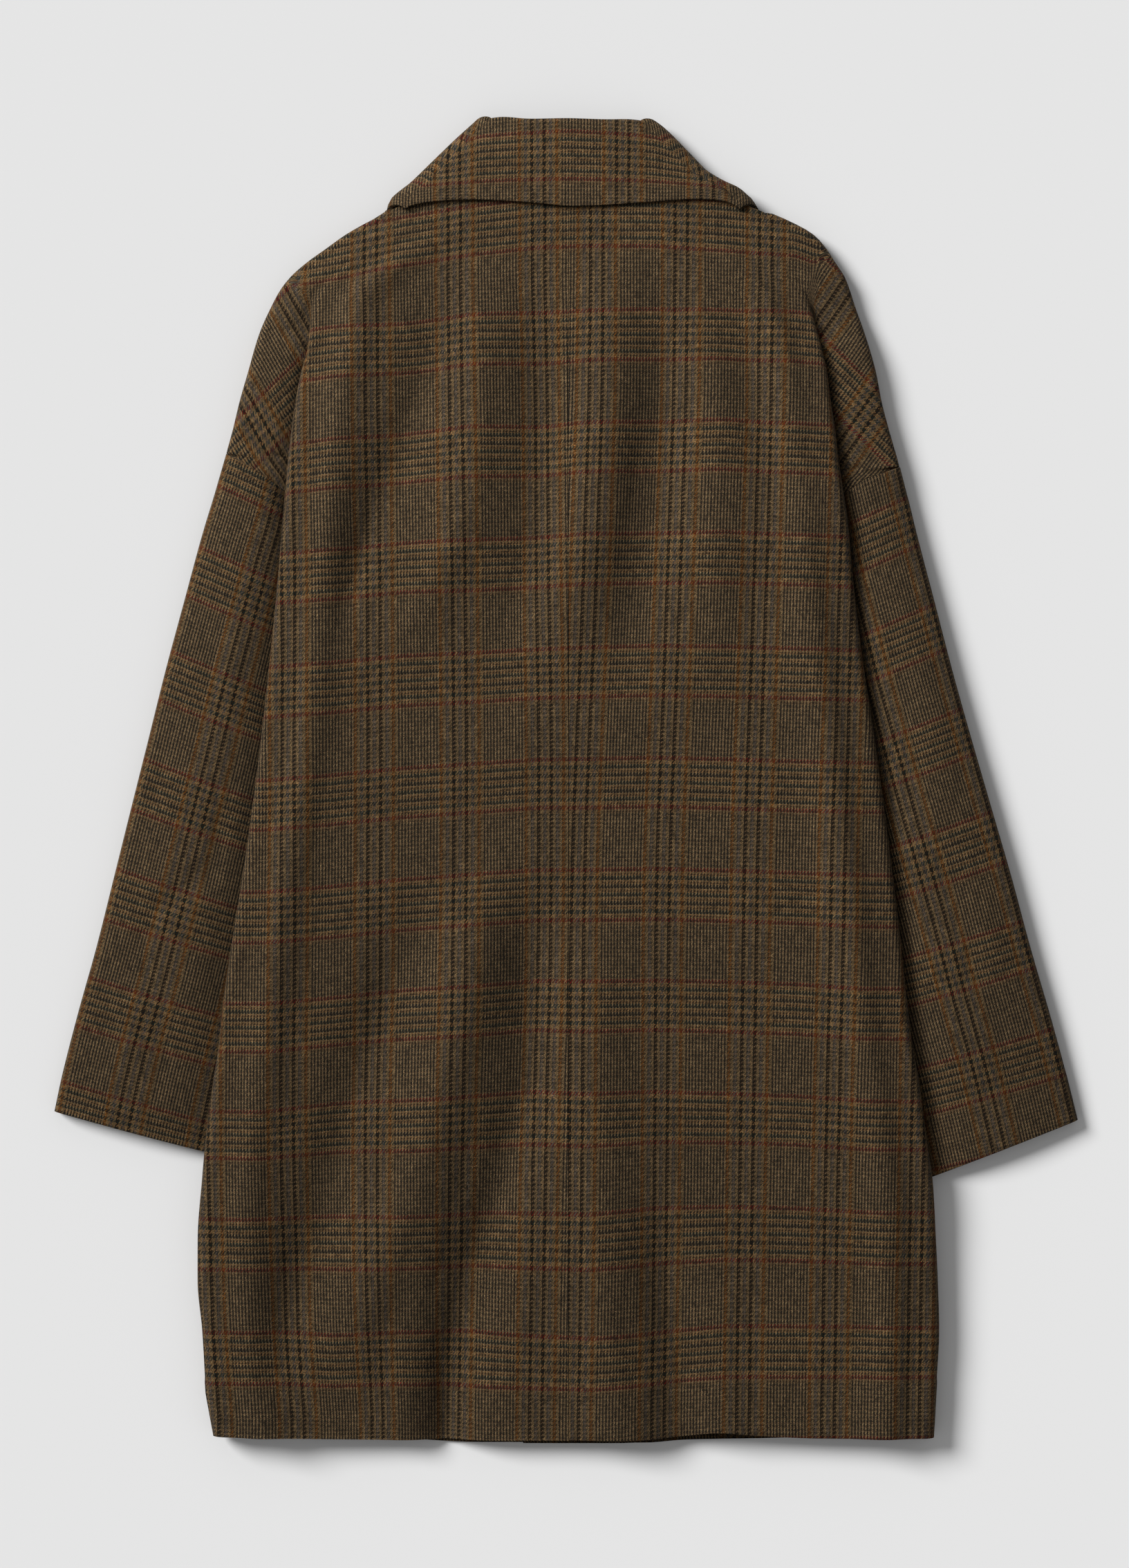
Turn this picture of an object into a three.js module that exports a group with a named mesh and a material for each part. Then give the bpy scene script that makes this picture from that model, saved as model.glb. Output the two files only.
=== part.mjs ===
// A wool coat laid face down: two backs, two fronts, two sleeves and a collar.
// Millimetres. x runs across, y from hem to neck, z up from the table.
import * as THREE from "three";

const CLOTH = 2.5; // wall of the body panels
const SLEEVE_CLOTH = 2.2; // wall of the sleeves
const COLLAR_CLOTH = 2.4; // wall of the collar
const GAP = 0.3; // between pieces that meet at a seam
const SEAM_X = 1.7; // where the middle back seam lies, right of the outline's middle
const FRONT_OVERLAP = 32; // each front passes the middle by this much
const FRONT_STEP = [35, 50]; // where the upper front comes down beside the edge of the lower one
const FRONT_NECK_ROWS_END = 345; // above this the rows of the fronts follow the neck seam
const HEM_EXTRA = 0.9; // the turned hem is thicker by this much
const HEM_DEPTH = 38; // height of the turned hem
const HEM_RISE = 70; // how far up the hem's own waves reach
const HEM_Y = -466; // the hem at the body's sides
const HALF_TURN = Math.PI;
const DEGREE = Math.PI / 180;

// Half width, from the back seam, of the edge where the body folds over the sleeve.
const FOLD_EDGE = [
  { y: 410, left: 88, right: 96 },
  { y: 398, left: 104, right: 114 },
  { y: 386, left: 124, right: 130 },
  { y: 372, left: 146, right: 142 },
  { y: 357, left: 166, right: 157 },
  { y: 345, left: 177, right: 167 },
  { y: 337, left: 181, right: 171 },
  { y: 325, left: 182.8, right: 174.4 },
  { y: 305, left: 185.2, right: 179.5 },
  { y: 288, left: 189.6, right: 183.3 },
  { y: 270, left: 193.2, right: 185.4 },
  { y: 248, left: 196.2, right: 188.8 },
  { y: 222, left: 199.2, right: 191.9 },
  { y: 183, left: 202.6, right: 197.7 },
  { y: 132, left: 207, right: 202.6 },
  { y: 84, left: 212, right: 208.6 },
  { y: 40, left: 216.8, right: 215.3 },
  { y: 0, left: 221.6, right: 221 },
  { y: -58, left: 229.6, right: 228.6 },
  { y: -111, left: 238, right: 235 },
  { y: -157, left: 244.8, right: 239.9 },
  { y: -188, left: 248, right: 243.9 },
  { y: -217, left: 252.4, right: 248.9 },
  { y: -258, left: 257.6, right: 254.2 },
  { y: -284, left: 259.9, right: 258 },
  { y: -325, left: 263, right: 260.4 },
  { y: -355, left: 263.2, right: 261.9 },
  { y: -390, left: 260, right: 262.9 },
  { y: -430, left: 257.6, right: 260.9 },
  { y: -458, left: 255.2, right: 259.4 },
  { y: -468, left: 251, right: 258.8 },
];

// Half width, from the back seam, of the outer edge of the shoulder, cap and sleeve.
const OUTER_EDGE = [
  { y: 410, left: 114, right: 121 },
  { y: 403, left: 118.5, right: 126.5 },
  { y: 398.6, left: 136.9, right: 152 },
  { y: 386.4, left: 159, right: 174.6 },
  { y: 376.6, left: 172.7, right: 183.5 },
  { y: 366.8, left: 186.4, right: 189.9 },
  { y: 357, left: 197.6, right: 196.3 },
  { y: 347, left: 205.5, right: 200.2 },
  { y: 337, left: 210.9, right: 203.4 },
  { y: 318, left: 219.3, right: 210 },
  { y: 288, left: 228.1, right: 218.6 },
  { y: 269, left: 233.6, right: 222.2 },
  { y: 249, left: 238.4, right: 227.4 },
  { y: 229.6, left: 243.8, right: 233 },
  { y: 200, left: 252.6, right: 241.3 },
  { y: 176, left: 259.9, right: 247.2 },
  { y: 127, left: 273.2, right: 260 },
  { y: 78, left: 286.4, right: 272.7 },
  { y: 29, left: 298.6, right: 286.4 },
  { y: -20, left: 310.9, right: 300.6 },
  { y: -69, left: 323.1, right: 314.8 },
  { y: -118, left: 335.4, right: 328 },
  { y: -167, left: 349.1, right: 342.3 },
  { y: -216, left: 361.6, right: 355.8 },
  { y: -242, left: 367.2, right: 362.9 },
];

// The body's section at its fold. top: height of the cloth there. turn: how far it turns under, in
// degrees. roll, under, tuck: cloth lengths of the roll, of the flat return and of the inner turn.
// crest: height of the cap beyond it. middle: height of the back at its seam.
const SIDE_FOLD = [
  { y: 425, top: 16.5, turn: 4, roll: 4, under: 2, tuck: 4, crest: 12.8, middle: 16.5 },
  { y: 386, top: 16.6, turn: 6, roll: 4, under: 2, tuck: 4, crest: 13.6, middle: 16.8 },
  { y: 357, top: 16.8, turn: 10, roll: 4, under: 2, tuck: 4, crest: 13.2, middle: 17 },
  { y: 345, top: 17, turn: 22, roll: 4, under: 1.5, tuck: 4, crest: 12.4, middle: 17 },
  { y: 337, top: 17.3, turn: 50, roll: 4.2, under: 1, tuck: 4.2, crest: 11.8, middle: 17 },
  { y: 325, top: 18.4, turn: 110, roll: 5.4, under: 1, tuck: 4.8, crest: 11.2, middle: 17 },
  { y: 305, top: 20.6, turn: 150, roll: 7.5, under: 3, tuck: 6, crest: 10.6, middle: 17 },
  { y: 288, top: 22.3, turn: 178, roll: 11, under: 9, tuck: 6.6, crest: 10.2, middle: 17 },
  { y: 262, top: 23.9, turn: 180, roll: 14.6, under: 17, tuck: 7, crest: 10, middle: 17 },
  { y: 232, top: 24.8, turn: 180, roll: 17, under: 24, tuck: 7, crest: 10, middle: 17 },
  { y: 183, top: 25, turn: 180, roll: 17.5, under: 26, tuck: 7, crest: 9.6, middle: 17 },
  { y: 172, top: 24.4, turn: 180, roll: 17.5, under: 26.4, tuck: 4, crest: 9.6, middle: 17 },
  { y: 140, top: 23.2, turn: 180, roll: 17.5, under: 26.8, tuck: 4, crest: 9.6, middle: 17 },
  { y: 85, top: 22.4, turn: 180, roll: 17.5, under: 26, tuck: 4, crest: 9.6, middle: 17 },
  { y: -60, top: 22.2, turn: 180, roll: 17.5, under: 24, tuck: 4, crest: 9.6, middle: 16.5 },
  { y: -296, top: 22.2, turn: 180, roll: 17.5, under: 20, tuck: 4, crest: 9.6, middle: 16 },
  { y: -325, top: 21.4, turn: 180, roll: 20, under: 20, tuck: 4, crest: 9.6, middle: 15.5 },
  { y: -362, top: 20.6, turn: 180, roll: 23, under: 20, tuck: 4, crest: 9.6, middle: 15 },
  { y: -470, top: 19, turn: 180, roll: 23, under: 20, tuck: 4, crest: 9.6, middle: 14 },
];

// Where the armhole seam runs, as half widths from the back seam, from the outer edge to the underarm.
const ARMHOLE = {
  left: [
    { y: 232, out: 243.2 },
    { y: 228.6, out: 236.5 },
    { y: 219.3, out: 220.2 },
    { y: 204, out: 200.2 },
    { y: 183, out: 167.8 },
  ],
  right: [
    { y: 222.7, out: 235.4 },
    { y: 219.9, out: 228.4 },
    { y: 213.4, out: 210.2 },
    { y: 204, out: 196 },
    { y: 186, out: 163 },
  ],
};

// The hems: x of the point and the y of the hem of the back and of the fronts there, and its lift.
const HEMS = [
  { x: -262, back: -463.2, front: -463.5, lift: 1 },
  { x: -240, back: -464.8, front: -465, lift: 0 },
  { x: -134, back: -467, front: -467.4, lift: 0 },
  { x: -60, back: -467.8, front: -471, lift: 0.5 },
  { x: 56, back: -467.4, front: -471.1, lift: 0 },
  { x: 84, back: -465.4, front: -469, lift: 1.5 },
  { x: 108, back: -462.6, front: -468.4, lift: 4.5 },
  { x: 136, back: -464.6, front: -468, lift: 2 },
  { x: 180, back: -466.4, front: -466.8, lift: 0 },
  { x: 262, back: -466.2, front: -466, lift: 0.5 },
];

// Long folds of the back, named by where they lie. x at four heights down the fold, with the heights
// of its upper and lower ends, how far it stands up or sinks, and its half width.
const BACK_FOLDS = [
  { upper: 352, lower: 95, x: [-63, -60, -76, -110], rise: 2.4, width: 15 },
  { upper: 352, lower: 100, x: [31, 30, 20, 5], rise: 2.6, width: 17 },
  { upper: 345, lower: 80, x: [97, 103, 105, 105], rise: 2.2, width: 16 },
  { upper: 352, lower: 110, x: [-88, -104, -132, -163], rise: -2.2, width: 14 },
  { upper: 350, lower: 90, x: [-20, -15, -22, -40], rise: -2.4, width: 15 },
  { upper: 350, lower: 85, x: [71, 70, 59, 46], rise: -2.2, width: 15 },
  { upper: 340, lower: 150, x: [121, 136, 153, 160], rise: -2, width: 14 },
  { upper: -70, lower: -400, x: [-59, -78, -107, -148], rise: 3.2, width: 17 },
  { upper: -95, lower: -440, x: [-106, -146, -178, -215], rise: -2.6, width: 17 },
  { upper: -80, lower: -466, x: [-22, -26, -60, -85], rise: -3, width: 14 },
  { upper: -110, lower: -466, x: [17, 18, 12, 16], rise: 3, width: 18 },
  { upper: -300, lower: -466, x: [66, 70, 78, 82], rise: -2, width: 14 },
];
const SIDE_CREST = 3.2; // the long roll just inside each folded edge
const SIDE_CREST_IN = 27; // how far it lies inside the edge
const SIDE_CREST_WIDTH = 16;

// Rows of the back, from the neck to the hem. The armhole's own rows come in between.
const BACK_ROWS = [397.4, 386.4, 372, 357, 345, 337, 325, 308, 288, 262];
const BODY_ROWS = [172, 140, 85, 25, -35, -95, -155, -215, -262, -300, -345, -395, -435];
const BACK_STEPS = 13; // steps from the back seam to the fold
const ROLL_STEPS = 5;
const RETURN_STEPS = 2;
const TUCK_STEPS = 4;
const END_STEPS = 7;
const CAP_SWELL = 1.2; // how much the cap bulges between the fold and its outer edge
const EDGE_ROLL = 5; // radius of the outer edge of shoulder, cap and sleeve
const LAST_TURN = 115; // how steeply the return goes down inside the sleeve, in degrees
const LANDING = 4; // radius where it lands on the table
const NECK_SIDE_Y = 401.2; // where the neck seam reaches the shoulder

// The neck seam of the back, as y at a half width.
const BACK_NECK = [
  { out: 0, y: 421.4 },
  { out: 50, y: 420.2 },
  { out: 80, y: 417.2 },
  { out: 105, y: 411.6 },
  { out: 122, y: NECK_SIDE_Y },
];

// The neck seam of the fronts, under the back: its ends as half widths and heights up the coat.
const FRONT_NECK = {
  left: { middle: [6, 355.7], side: [106.2, 411.6], shoulder: [116, 399.2] },
  right: { middle: [6, 355.7], side: [110.8, 409.9], shoulder: [123, 399.2] },
};
const NECK_GAP = 1.1; // between the collar's stand and the panels, whose edges are thick and tilted

// The collar. Its crease is the sloping side, from the tip at the shoulder to the top corner.
const COLLAR = {
  left: { tipX: -125.6, tipY: 406, topX: -64.5, topY: 469.8, middleX: -1.7 },
  right: { tipX: 135, tipY: 406.6, topX: 64.8, topY: 469.6, middleX: 1.7 },
};
const COLLAR_FALL_Y = 405; // lower edge of the fall at the middle
const COLLAR_TOP_Y = 471.1;
const COLLAR_NECK_PLACE = 0.22; // where the neck seam crosses the crease, up from the tip
const COLLAR_FLOOR = 1.2; // height of the fall's middle surface where it lies on the table
const CREASE_RADIUS = { tip: 9.5, top: 6.6 }; // of the fall where it turns under at the sides
const STAND_INSIDE = 3.4; // the stand lies this far inside the fall
const COLLAR_BOW = 1.6; // how flat the collar's top edge stays towards its corners
const CREASE_EXTRA = 1.5; // the corners stand this much higher
const FALL_BOW = 2; // how much the fall's edge arches at each side
const MIDDLE_LIFT = 6; // the middle of the roll stands this much higher than its corners
const FALL_STEPS = 6;
const COLLAR_ROLL_STEPS = 4;
const STAND_STEPS = 3;
const COLLAR_TOP_STEPS = 7;
const COLLAR_TURN_STEPS = 5;
const COLLAR_LEAF_STEPS = 4;
const LEAF_END = {
  fall: { x: 36, y: 327 },
  top: { x: 10, y: 372 },
  neck: { x: 6, y: 355.7 },
};
const LEAF_LIFT = 2.8; // the fronts lie this much higher over the collar's front ends
const LEAF_EDGE_Y = 322; // the lowest point of those ends

const smooth = (low, high, at) => {
  const t = Math.min(1, Math.max(0, (at - low) / (high - low)));
  return t * t * (3 - 2 * t);
};
const mix = (a, b, t) => a + (b - a) * t;
const hump = (away, width) => Math.exp(-((away / width) ** 2));

// Reads one named column of a table at a place along its key, on a smooth curve with no overshoot.
function along(table, key, column, at) {
  const rows = table[0][key] < table[table.length - 1][key] ? table : [...table].reverse();
  const last = rows.length - 1;
  if (at <= rows[0][key]) return rows[0][column];
  if (at >= rows[last][key]) return rows[last][column];
  let k = 0;
  while (rows[k + 1][key] < at) k += 1;
  const slope = (i) => (rows[i + 1][column] - rows[i][column]) / (rows[i + 1][key] - rows[i][key]);
  const tangent = (i) => {
    if (i === 0) return slope(0);
    if (i === last) return slope(last - 1);
    const before = slope(i - 1);
    const after = slope(i);
    return before * after <= 0 ? 0 : (2 * before * after) / (before + after);
  };
  const step = rows[k + 1][key] - rows[k][key];
  const t = (at - rows[k][key]) / step;
  const start = rows[k][column] * (1 + 2 * t) * (1 - t) ** 2 + tangent(k) * step * t * (1 - t) ** 2;
  const end = rows[k + 1][column] * t * t * (3 - 2 * t) - tangent(k + 1) * step * t * t * (1 - t);
  return start + end;
}

const signOf = (side) => (side === "left" ? -1 : 1);
const xAt = (side, out) => SEAM_X + signOf(side) * out;
const foldEdge = (side, y) => along(FOLD_EDGE, "y", side, y);
const outerEdge = (side, y) => along(OUTER_EDGE, "y", side, y);

function foldsAt(x, y) {
  let z = 0;
  for (const fold of BACK_FOLDS) {
    const down = (fold.upper - y) / (fold.upper - fold.lower);
    const place = Math.min(1, Math.max(0, down)) * 3;
    const k = Math.min(2, Math.floor(place));
    const line = mix(fold.x[k], fold.x[k + 1], place - k);
    const openEnd = fold.lower <= HEM_Y ? 1 : smooth(fold.lower - 30, fold.lower + 40, y);
    const fade = openEnd * (1 - smooth(fold.upper - 30, fold.upper + 25, y));
    z += fold.rise * fade * hump(x - line, fold.width);
  }
  return z;
}

// How much the fronts are raised where the collar's front ends lie under them.
const frontLift = (y) => LEAF_LIFT * smooth(LEAF_EDGE_Y - 26, LEAF_EDGE_Y - 4, y);

// Height of the back's middle surface between its seam and its fold.
function backHeight(side, out, y, edge, top) {
  const middle = along(SIDE_FOLD, "y", "middle", y);
  const rise = smooth(0.45, 1, out / edge);
  const crest = SIDE_CREST * (1 - smooth(335, 400, y));
  const roll = crest * hump(edge - SIDE_CREST_IN - out, SIDE_CREST_WIDTH);
  const x = xAt(side, out);
  const free = 1 - smooth(edge - 26, edge, out);
  const hem = along(HEMS, "x", "lift", x) * (1 - smooth(HEM_Y, HEM_Y + HEM_RISE, y));
  return mix(middle, top, rise) + roll * free + (foldsAt(x, y) + hem) * free;
}

// Turns along an arc or a straight in steps and adds the points to the section.
function bend(points, from, to, length, steps) {
  const start = points[points.length - 1];
  for (let i = 1; i <= steps; i += 1) {
    const part = length * (i / steps);
    const angle = from + (to - from) * (i / steps);
    const turned = Math.abs(angle - from) > 1e-6;
    const radius = turned ? part / (angle - from) : 0;
    const out = turned ? radius * (Math.sin(angle) - Math.sin(from)) : part * Math.cos(from);
    const down = turned ? radius * (Math.cos(from) - Math.cos(angle)) : part * Math.sin(from);
    points.push({ out: start.out + out, z: start.z - down });
  }
}

// The section of a back panel at one height: from the seam over the fold to its outer end.
// zone is "cap" above the armhole, "armhole" along it, "underarm" at its end, "side" below.
function backSection(side, y, zone, seamOut) {
  const at = (column) => along(SIDE_FOLD, "y", column, y);
  const turn = at("turn") * DEGREE;
  const radius = at("roll") / turn;
  const rollOut = radius * Math.sin(Math.min(turn, HALF_TURN / 2));
  const edge = foldEdge(side, y) - CLOTH / 2 - rollOut;
  const points = [];
  for (let i = 0; i <= BACK_STEPS; i += 1) {
    const out = mix(GAP / 2, edge, i / BACK_STEPS);
    points.push({ out, z: backHeight(side, out, y, edge, at("top")) });
  }
  bend(points, 0, turn, at("roll"), ROLL_STEPS);
  bend(points, turn, turn, at("under"), RETURN_STEPS);
  const last = { side: LAST_TURN * DEGREE, underarm: HALF_TURN / 2 }[zone] ?? 0;
  bend(points, turn, last, at("tuck"), TUCK_STEPS);
  const start = points[points.length - 1];
  if (zone === "cap") {
    addCapEnd(points, side, y, start, at("crest"));
  } else if (zone === "armhole") {
    for (let i = 1; i <= END_STEPS; i += 1) {
      const t = i / END_STEPS;
      points.push({ out: mix(start.out, seamOut, t), z: mix(start.z, at("crest"), t) });
    }
  } else if (zone === "underarm") {
    bend(points, last, last, Math.max(1.4, start.z - 5), END_STEPS);
  } else {
    const landing = LANDING * (HALF_TURN - last);
    const drop = LANDING * (1 + Math.cos(last));
    const straight = (start.z - CLOTH / 2 - drop) / Math.sin(last);
    bend(points, last, last, straight, 3);
    bend(points, last, HALF_TURN, landing, END_STEPS - 3);
  }
  return points;
}

// The cap beyond the fold: over the sleeve's head and down onto the front at the outer edge.
function addCapEnd(points, side, y, start, crest) {
  const outer = outerEdge(side, y) - CLOTH / 2;
  const round = Math.min(EDGE_ROLL, (outer - start.out) * 0.4);
  const flat = outer - round;
  for (let i = 1; i <= 3; i += 1) {
    const t = i / 3;
    const swell = CAP_SWELL * Math.sin(HALF_TURN * t) * (1 - smooth(330, 380, y));
    points.push({ out: mix(start.out, flat, t), z: mix(start.z, crest, smooth(0, 1, t)) + swell });
  }
  const foot = CLOTH + GAP + frontLift(y);
  for (let i = 1; i <= 3; i += 1) {
    const angle = (HALF_TURN / 2) * (i / 3);
    points.push({ out: flat + round * Math.sin(angle), z: crest - round * (1 - Math.cos(angle)) });
  }
  points.push({ out: outer, z: foot });
}

// The rows of a back: its heights, the zone of each and where the armhole seam cuts it.
function backRows(side) {
  const seam = ARMHOLE[side];
  const rows = BACK_ROWS.map((y) => ({ y, zone: "cap" }));
  rows.push({ y: (262 + seam[0].y) / 2, zone: "cap" });
  rows.push({ y: seam[0].y, zone: "cap" });
  for (const point of seam.slice(1, -1)) rows.push({ y: point.y, zone: "armhole", out: point.out });
  rows.push({ y: seam[seam.length - 1].y, zone: "underarm" });
  for (const y of BODY_ROWS) rows.push({ y, zone: "side" });
  return rows;
}

// Makes one closed wall from a grid of points on its middle surface. thickness(row, column) is the
// wall there, ring closes the grid on itself, uprightStart keeps the first column's end face upright
// at the seam, and plain offsets the points straight up and down.
function wall(name, grid, options) {
  const rows = grid.length;
  const columns = grid[0].length;
  const across = new THREE.Vector3();
  const down = new THREE.Vector3();
  const place = (i, j) => grid[i][j];
  const faces = [[], []];
  for (let i = 0; i < rows; i += 1) {
    for (let j = 0; j < columns; j += 1) {
      const wrap = options.ring ? (j + columns) % columns : 0;
      const next = options.ring ? (wrap + 1) % columns : Math.min(columns - 1, j + 1);
      const before = options.ring ? (wrap + columns - 1) % columns : Math.max(0, j - 1);
      across.subVectors(place(i, next), place(i, before));
      down.subVectors(place(Math.min(rows - 1, i + 1), j), place(Math.max(0, i - 1), j));
      const normal = new THREE.Vector3().crossVectors(across, down);
      if (options.uprightStart && j === 0) normal.x = 0;
      if (options.plain) normal.set(0, 0, 1);
      normal.normalize();
      const half = options.thickness(i, j) / 2;
      faces[0].push(place(i, j).clone().addScaledVector(normal, half));
      faces[1].push(place(i, j).clone().addScaledVector(normal, -half));
    }
  }
  const points = [...faces[0], ...faces[1]];
  const count = rows * columns;
  const index = [];
  const quad = (a, b, c, d) => index.push(a, b, c, a, c, d);
  const lastColumn = options.ring ? columns : columns - 1;
  for (let i = 0; i < rows - 1; i += 1) {
    for (let j = 0; j < lastColumn; j += 1) {
      const k = (j + 1) % columns;
      quad(i * columns + j, i * columns + k, (i + 1) * columns + k, (i + 1) * columns + j);
      const base = count + i * columns;
      quad(base + j, base + columns + j, base + columns + k, base + k);
    }
  }
  for (let j = 0; j < lastColumn; j += 1) {
    const k = (j + 1) % columns;
    const end = (rows - 1) * columns;
    quad(j, count + j, count + k, k);
    quad(end + j, end + k, count + end + k, count + end + j);
  }
  if (!options.ring) {
    for (let i = 0; i < rows - 1; i += 1) {
      const a = i * columns;
      const b = a + columns;
      quad(a, b, count + b, count + a);
      quad(a + columns - 1, count + a + columns - 1, count + b + columns - 1, b + columns - 1);
    }
  }
  return meshOf(name, points, index, options.colour);
}

// Turns points and faces into a named mesh whose faces look outwards.
function meshOf(name, points, index, colour) {
  let volume = 0;
  for (let i = 0; i < index.length; i += 3) {
    const [a, b, c] = [points[index[i]], points[index[i + 1]], points[index[i + 2]]];
    volume += a.dot(new THREE.Vector3().crossVectors(b, c));
  }
  const order = volume > 0 ? index : index.slice().reverse();
  const geometry = new THREE.BufferGeometry();
  geometry.setAttribute("position", new THREE.Float32BufferAttribute(points.flatMap((p) => p.toArray()), 3));
  geometry.setIndex(order);
  geometry.computeVertexNormals();
  const material = new THREE.MeshStandardMaterial({ color: colour, roughness: 0.9, metalness: 0 });
  const mesh = new THREE.Mesh(geometry, material);
  mesh.name = name;
  return mesh;
}

const hemThickness = (y) => CLOTH + HEM_EXTRA * (1 - smooth(HEM_Y + HEM_DEPTH, HEM_Y + HEM_DEPTH + 6, y));

function backPanel(side) {
  const rows = backRows(side);
  const grid = [];
  const walls = [];
  const first = backSection(side, NECK_SIDE_Y, "cap");
  grid.push(first.map((p) => new THREE.Vector3(xAt(side, p.out), along(BACK_NECK, "out", "y", p.out), p.z)));
  walls.push(first.map(() => CLOTH));
  for (const row of rows) {
    const section = backSection(side, row.y, row.zone, row.out);
    grid.push(section.map((p) => new THREE.Vector3(xAt(side, p.out), row.y, p.z)));
    walls.push(section.map(() => hemThickness(row.y)));
  }
  const hem = backSection(side, HEM_Y, "side");
  grid.push(hem.map((p) => {
    const x = xAt(side, p.out);
    return new THREE.Vector3(x, along(HEMS, "x", "back", x), p.z);
  }));
  walls.push(hem.map(() => CLOTH + HEM_EXTRA));
  const last = first.length - END_STEPS;
  const thickness = (i, j) => (j > last ? CLOTH : walls[i][j]);
  return wall(`back_${side}`, grid, { thickness, uprightStart: true, colour: 0x4a4538 });
}

// Where a front's outer edge lies at a height, from the end of the back above it.
function frontEdge(side, row) {
  const section = backSection(side, row.y, row.zone, row.out);
  const end = section[section.length - 1];
  if (row.zone === "cap") return end.out + CLOTH / 2;
  if (row.zone === "armhole") return row.out;
  if (row.zone === "underarm") return end.out - 2;
  return end.out - GAP;
}

// Height of a front's middle surface. The right front lies over the left one at the middle.
function frontHeight(side, out, y) {
  const over = side === "right" ? 1 - smooth(FRONT_STEP[0], FRONT_STEP[1], out) : 0;
  return CLOTH / 2 + over * (CLOTH + GAP) + frontLift(y);
}

// Straight between the rows of the table, as the seam is.
function straight(table, key, column, at) {
  const rows = table[0][key] < table[table.length - 1][key] ? table : [...table].reverse();
  if (at <= rows[0][key]) return rows[0][column];
  for (let k = 0; k < rows.length - 1; k += 1) {
    const next = rows[k + 1];
    if (at <= next[key]) return mix(rows[k][column], next[column], (at - rows[k][key]) / (next[key] - rows[k][key]));
  }
  return rows[rows.length - 1][column];
}

function frontPanel(side) {
  const grid = [];
  const add = (outer, yOf) => {
    const outs = [0, 0.33, 0.66, 1].map((t) => mix(outer, FRONT_STEP[1] + 3, t));
    for (const t of [1, 0.7, 0.35, 0]) outs.push(mix(FRONT_STEP[0], FRONT_STEP[1], t));
    outs.push(6, -12, -FRONT_OVERLAP);
    grid.push(outs.map((out) => {
      const x = xAt(side, out);
      const y = yOf(out, x);
      return new THREE.Vector3(x, y, frontHeight(side, out, y));
    }));
  };
  const { middle, side: top, shoulder } = FRONT_NECK[side];
  const seam = [
    { out: middle[0], y: middle[1] - NECK_GAP },
    { out: top[0] - NECK_GAP, y: top[1] - NECK_GAP },
    { out: shoulder[0], y: shoulder[1] },
  ];
  const neck = (out) => straight(seam, "out", "y", out);
  add(shoulder[0], neck);
  for (const row of backRows(side)) {
    const down = (shoulder[1] - row.y) / (shoulder[1] - FRONT_NECK_ROWS_END);
    add(frontEdge(side, row), (out) => (down < 1 ? mix(neck(out), FRONT_NECK_ROWS_END, down) : row.y));
  }
  add(frontEdge(side, { y: HEM_Y, zone: "side" }), (out, x) => along(HEMS, "x", "front", x));
  return wall(`front_${side}`, grid, { thickness: () => CLOTH, plain: true, colour: 0x47423a });
}

// The sleeve's rings below the armhole. inner: how far the hidden edge lies inside the body's fold.
// top: height of the part that shows.
const SLEEVE_RINGS = [
  { y: 205, inner: 33, top: 11.4 },
  { y: 170, inner: 32, top: 12.2 },
  { y: 120, inner: 31.5, top: 13 },
  { y: 60, inner: 31, top: 13.6 },
  { y: 0, inner: 30, top: 13.8 },
  { y: -60, inner: 29, top: 13.4 },
  { y: -110, inner: 28, top: 12.8 },
  { y: -150, inner: 27, top: 12.4 },
  { y: -185, inner: 26, top: 12 },
  { y: -215, inner: 25, top: 11.4 },
];

// Both ends of each cuff, as half widths and heights up the coat, and how high it stands.
const CUFF = {
  left: { outer: [366.3, -234.6], inner: [234, -270.4], top: 11 },
  right: { outer: [362.8, -241], inner: [232, -292], top: 11 },
};
const ARMHOLE_TOP = 10; // height of the sleeve's head
const ARMHOLE_CLEAR = 2.2; // room for the back's end at the underarm
const UNDER_POINTS = 5; // points of a ring along the table
const INNER_POINTS = 3; // round its inner edge
const OVER_POINTS = 7; // over the top
const OUTER_POINTS = 3; // round its outer edge
const SLEEVE_TOP_HIDDEN = 8.2; // height of the sleeve's middle surface under the body
const SLEEVE_SEAM_GAP = 0.7;

// The two ends of every ring of a sleeve, as half widths and heights up the coat.
function sleeveRings(side) {
  const seam = ARMHOLE[side];
  const first = seam[0];
  const under = seam[seam.length - 1];
  const cuff = CUFF[side];
  const startSlope = (under.y - first.y) / (under.out - first.out);
  const endSlope = (cuff.inner[1] - cuff.outer[1]) / (cuff.inner[0] - cuff.outer[0]);
  const rings = [];
  for (const ring of SLEEVE_RINGS) {
    const outer = [outerEdge(side, ring.y), ring.y];
    const t = (first.y - ring.y) / (first.y - cuff.outer[1]);
    const slope = mix(startSlope, endSlope, Math.min(1, t * 1.6));
    let out = foldEdge(side, ring.y) - ring.inner;
    let y = outer[1] + (out - outer[0]) * slope;
    out = foldEdge(side, y) - ring.inner;
    y = outer[1] + (out - outer[0]) * slope;
    rings.push({ outer, inner: [out, y], top: ring.top });
  }
  rings.push(cuff);
  return rings;
}

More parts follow.
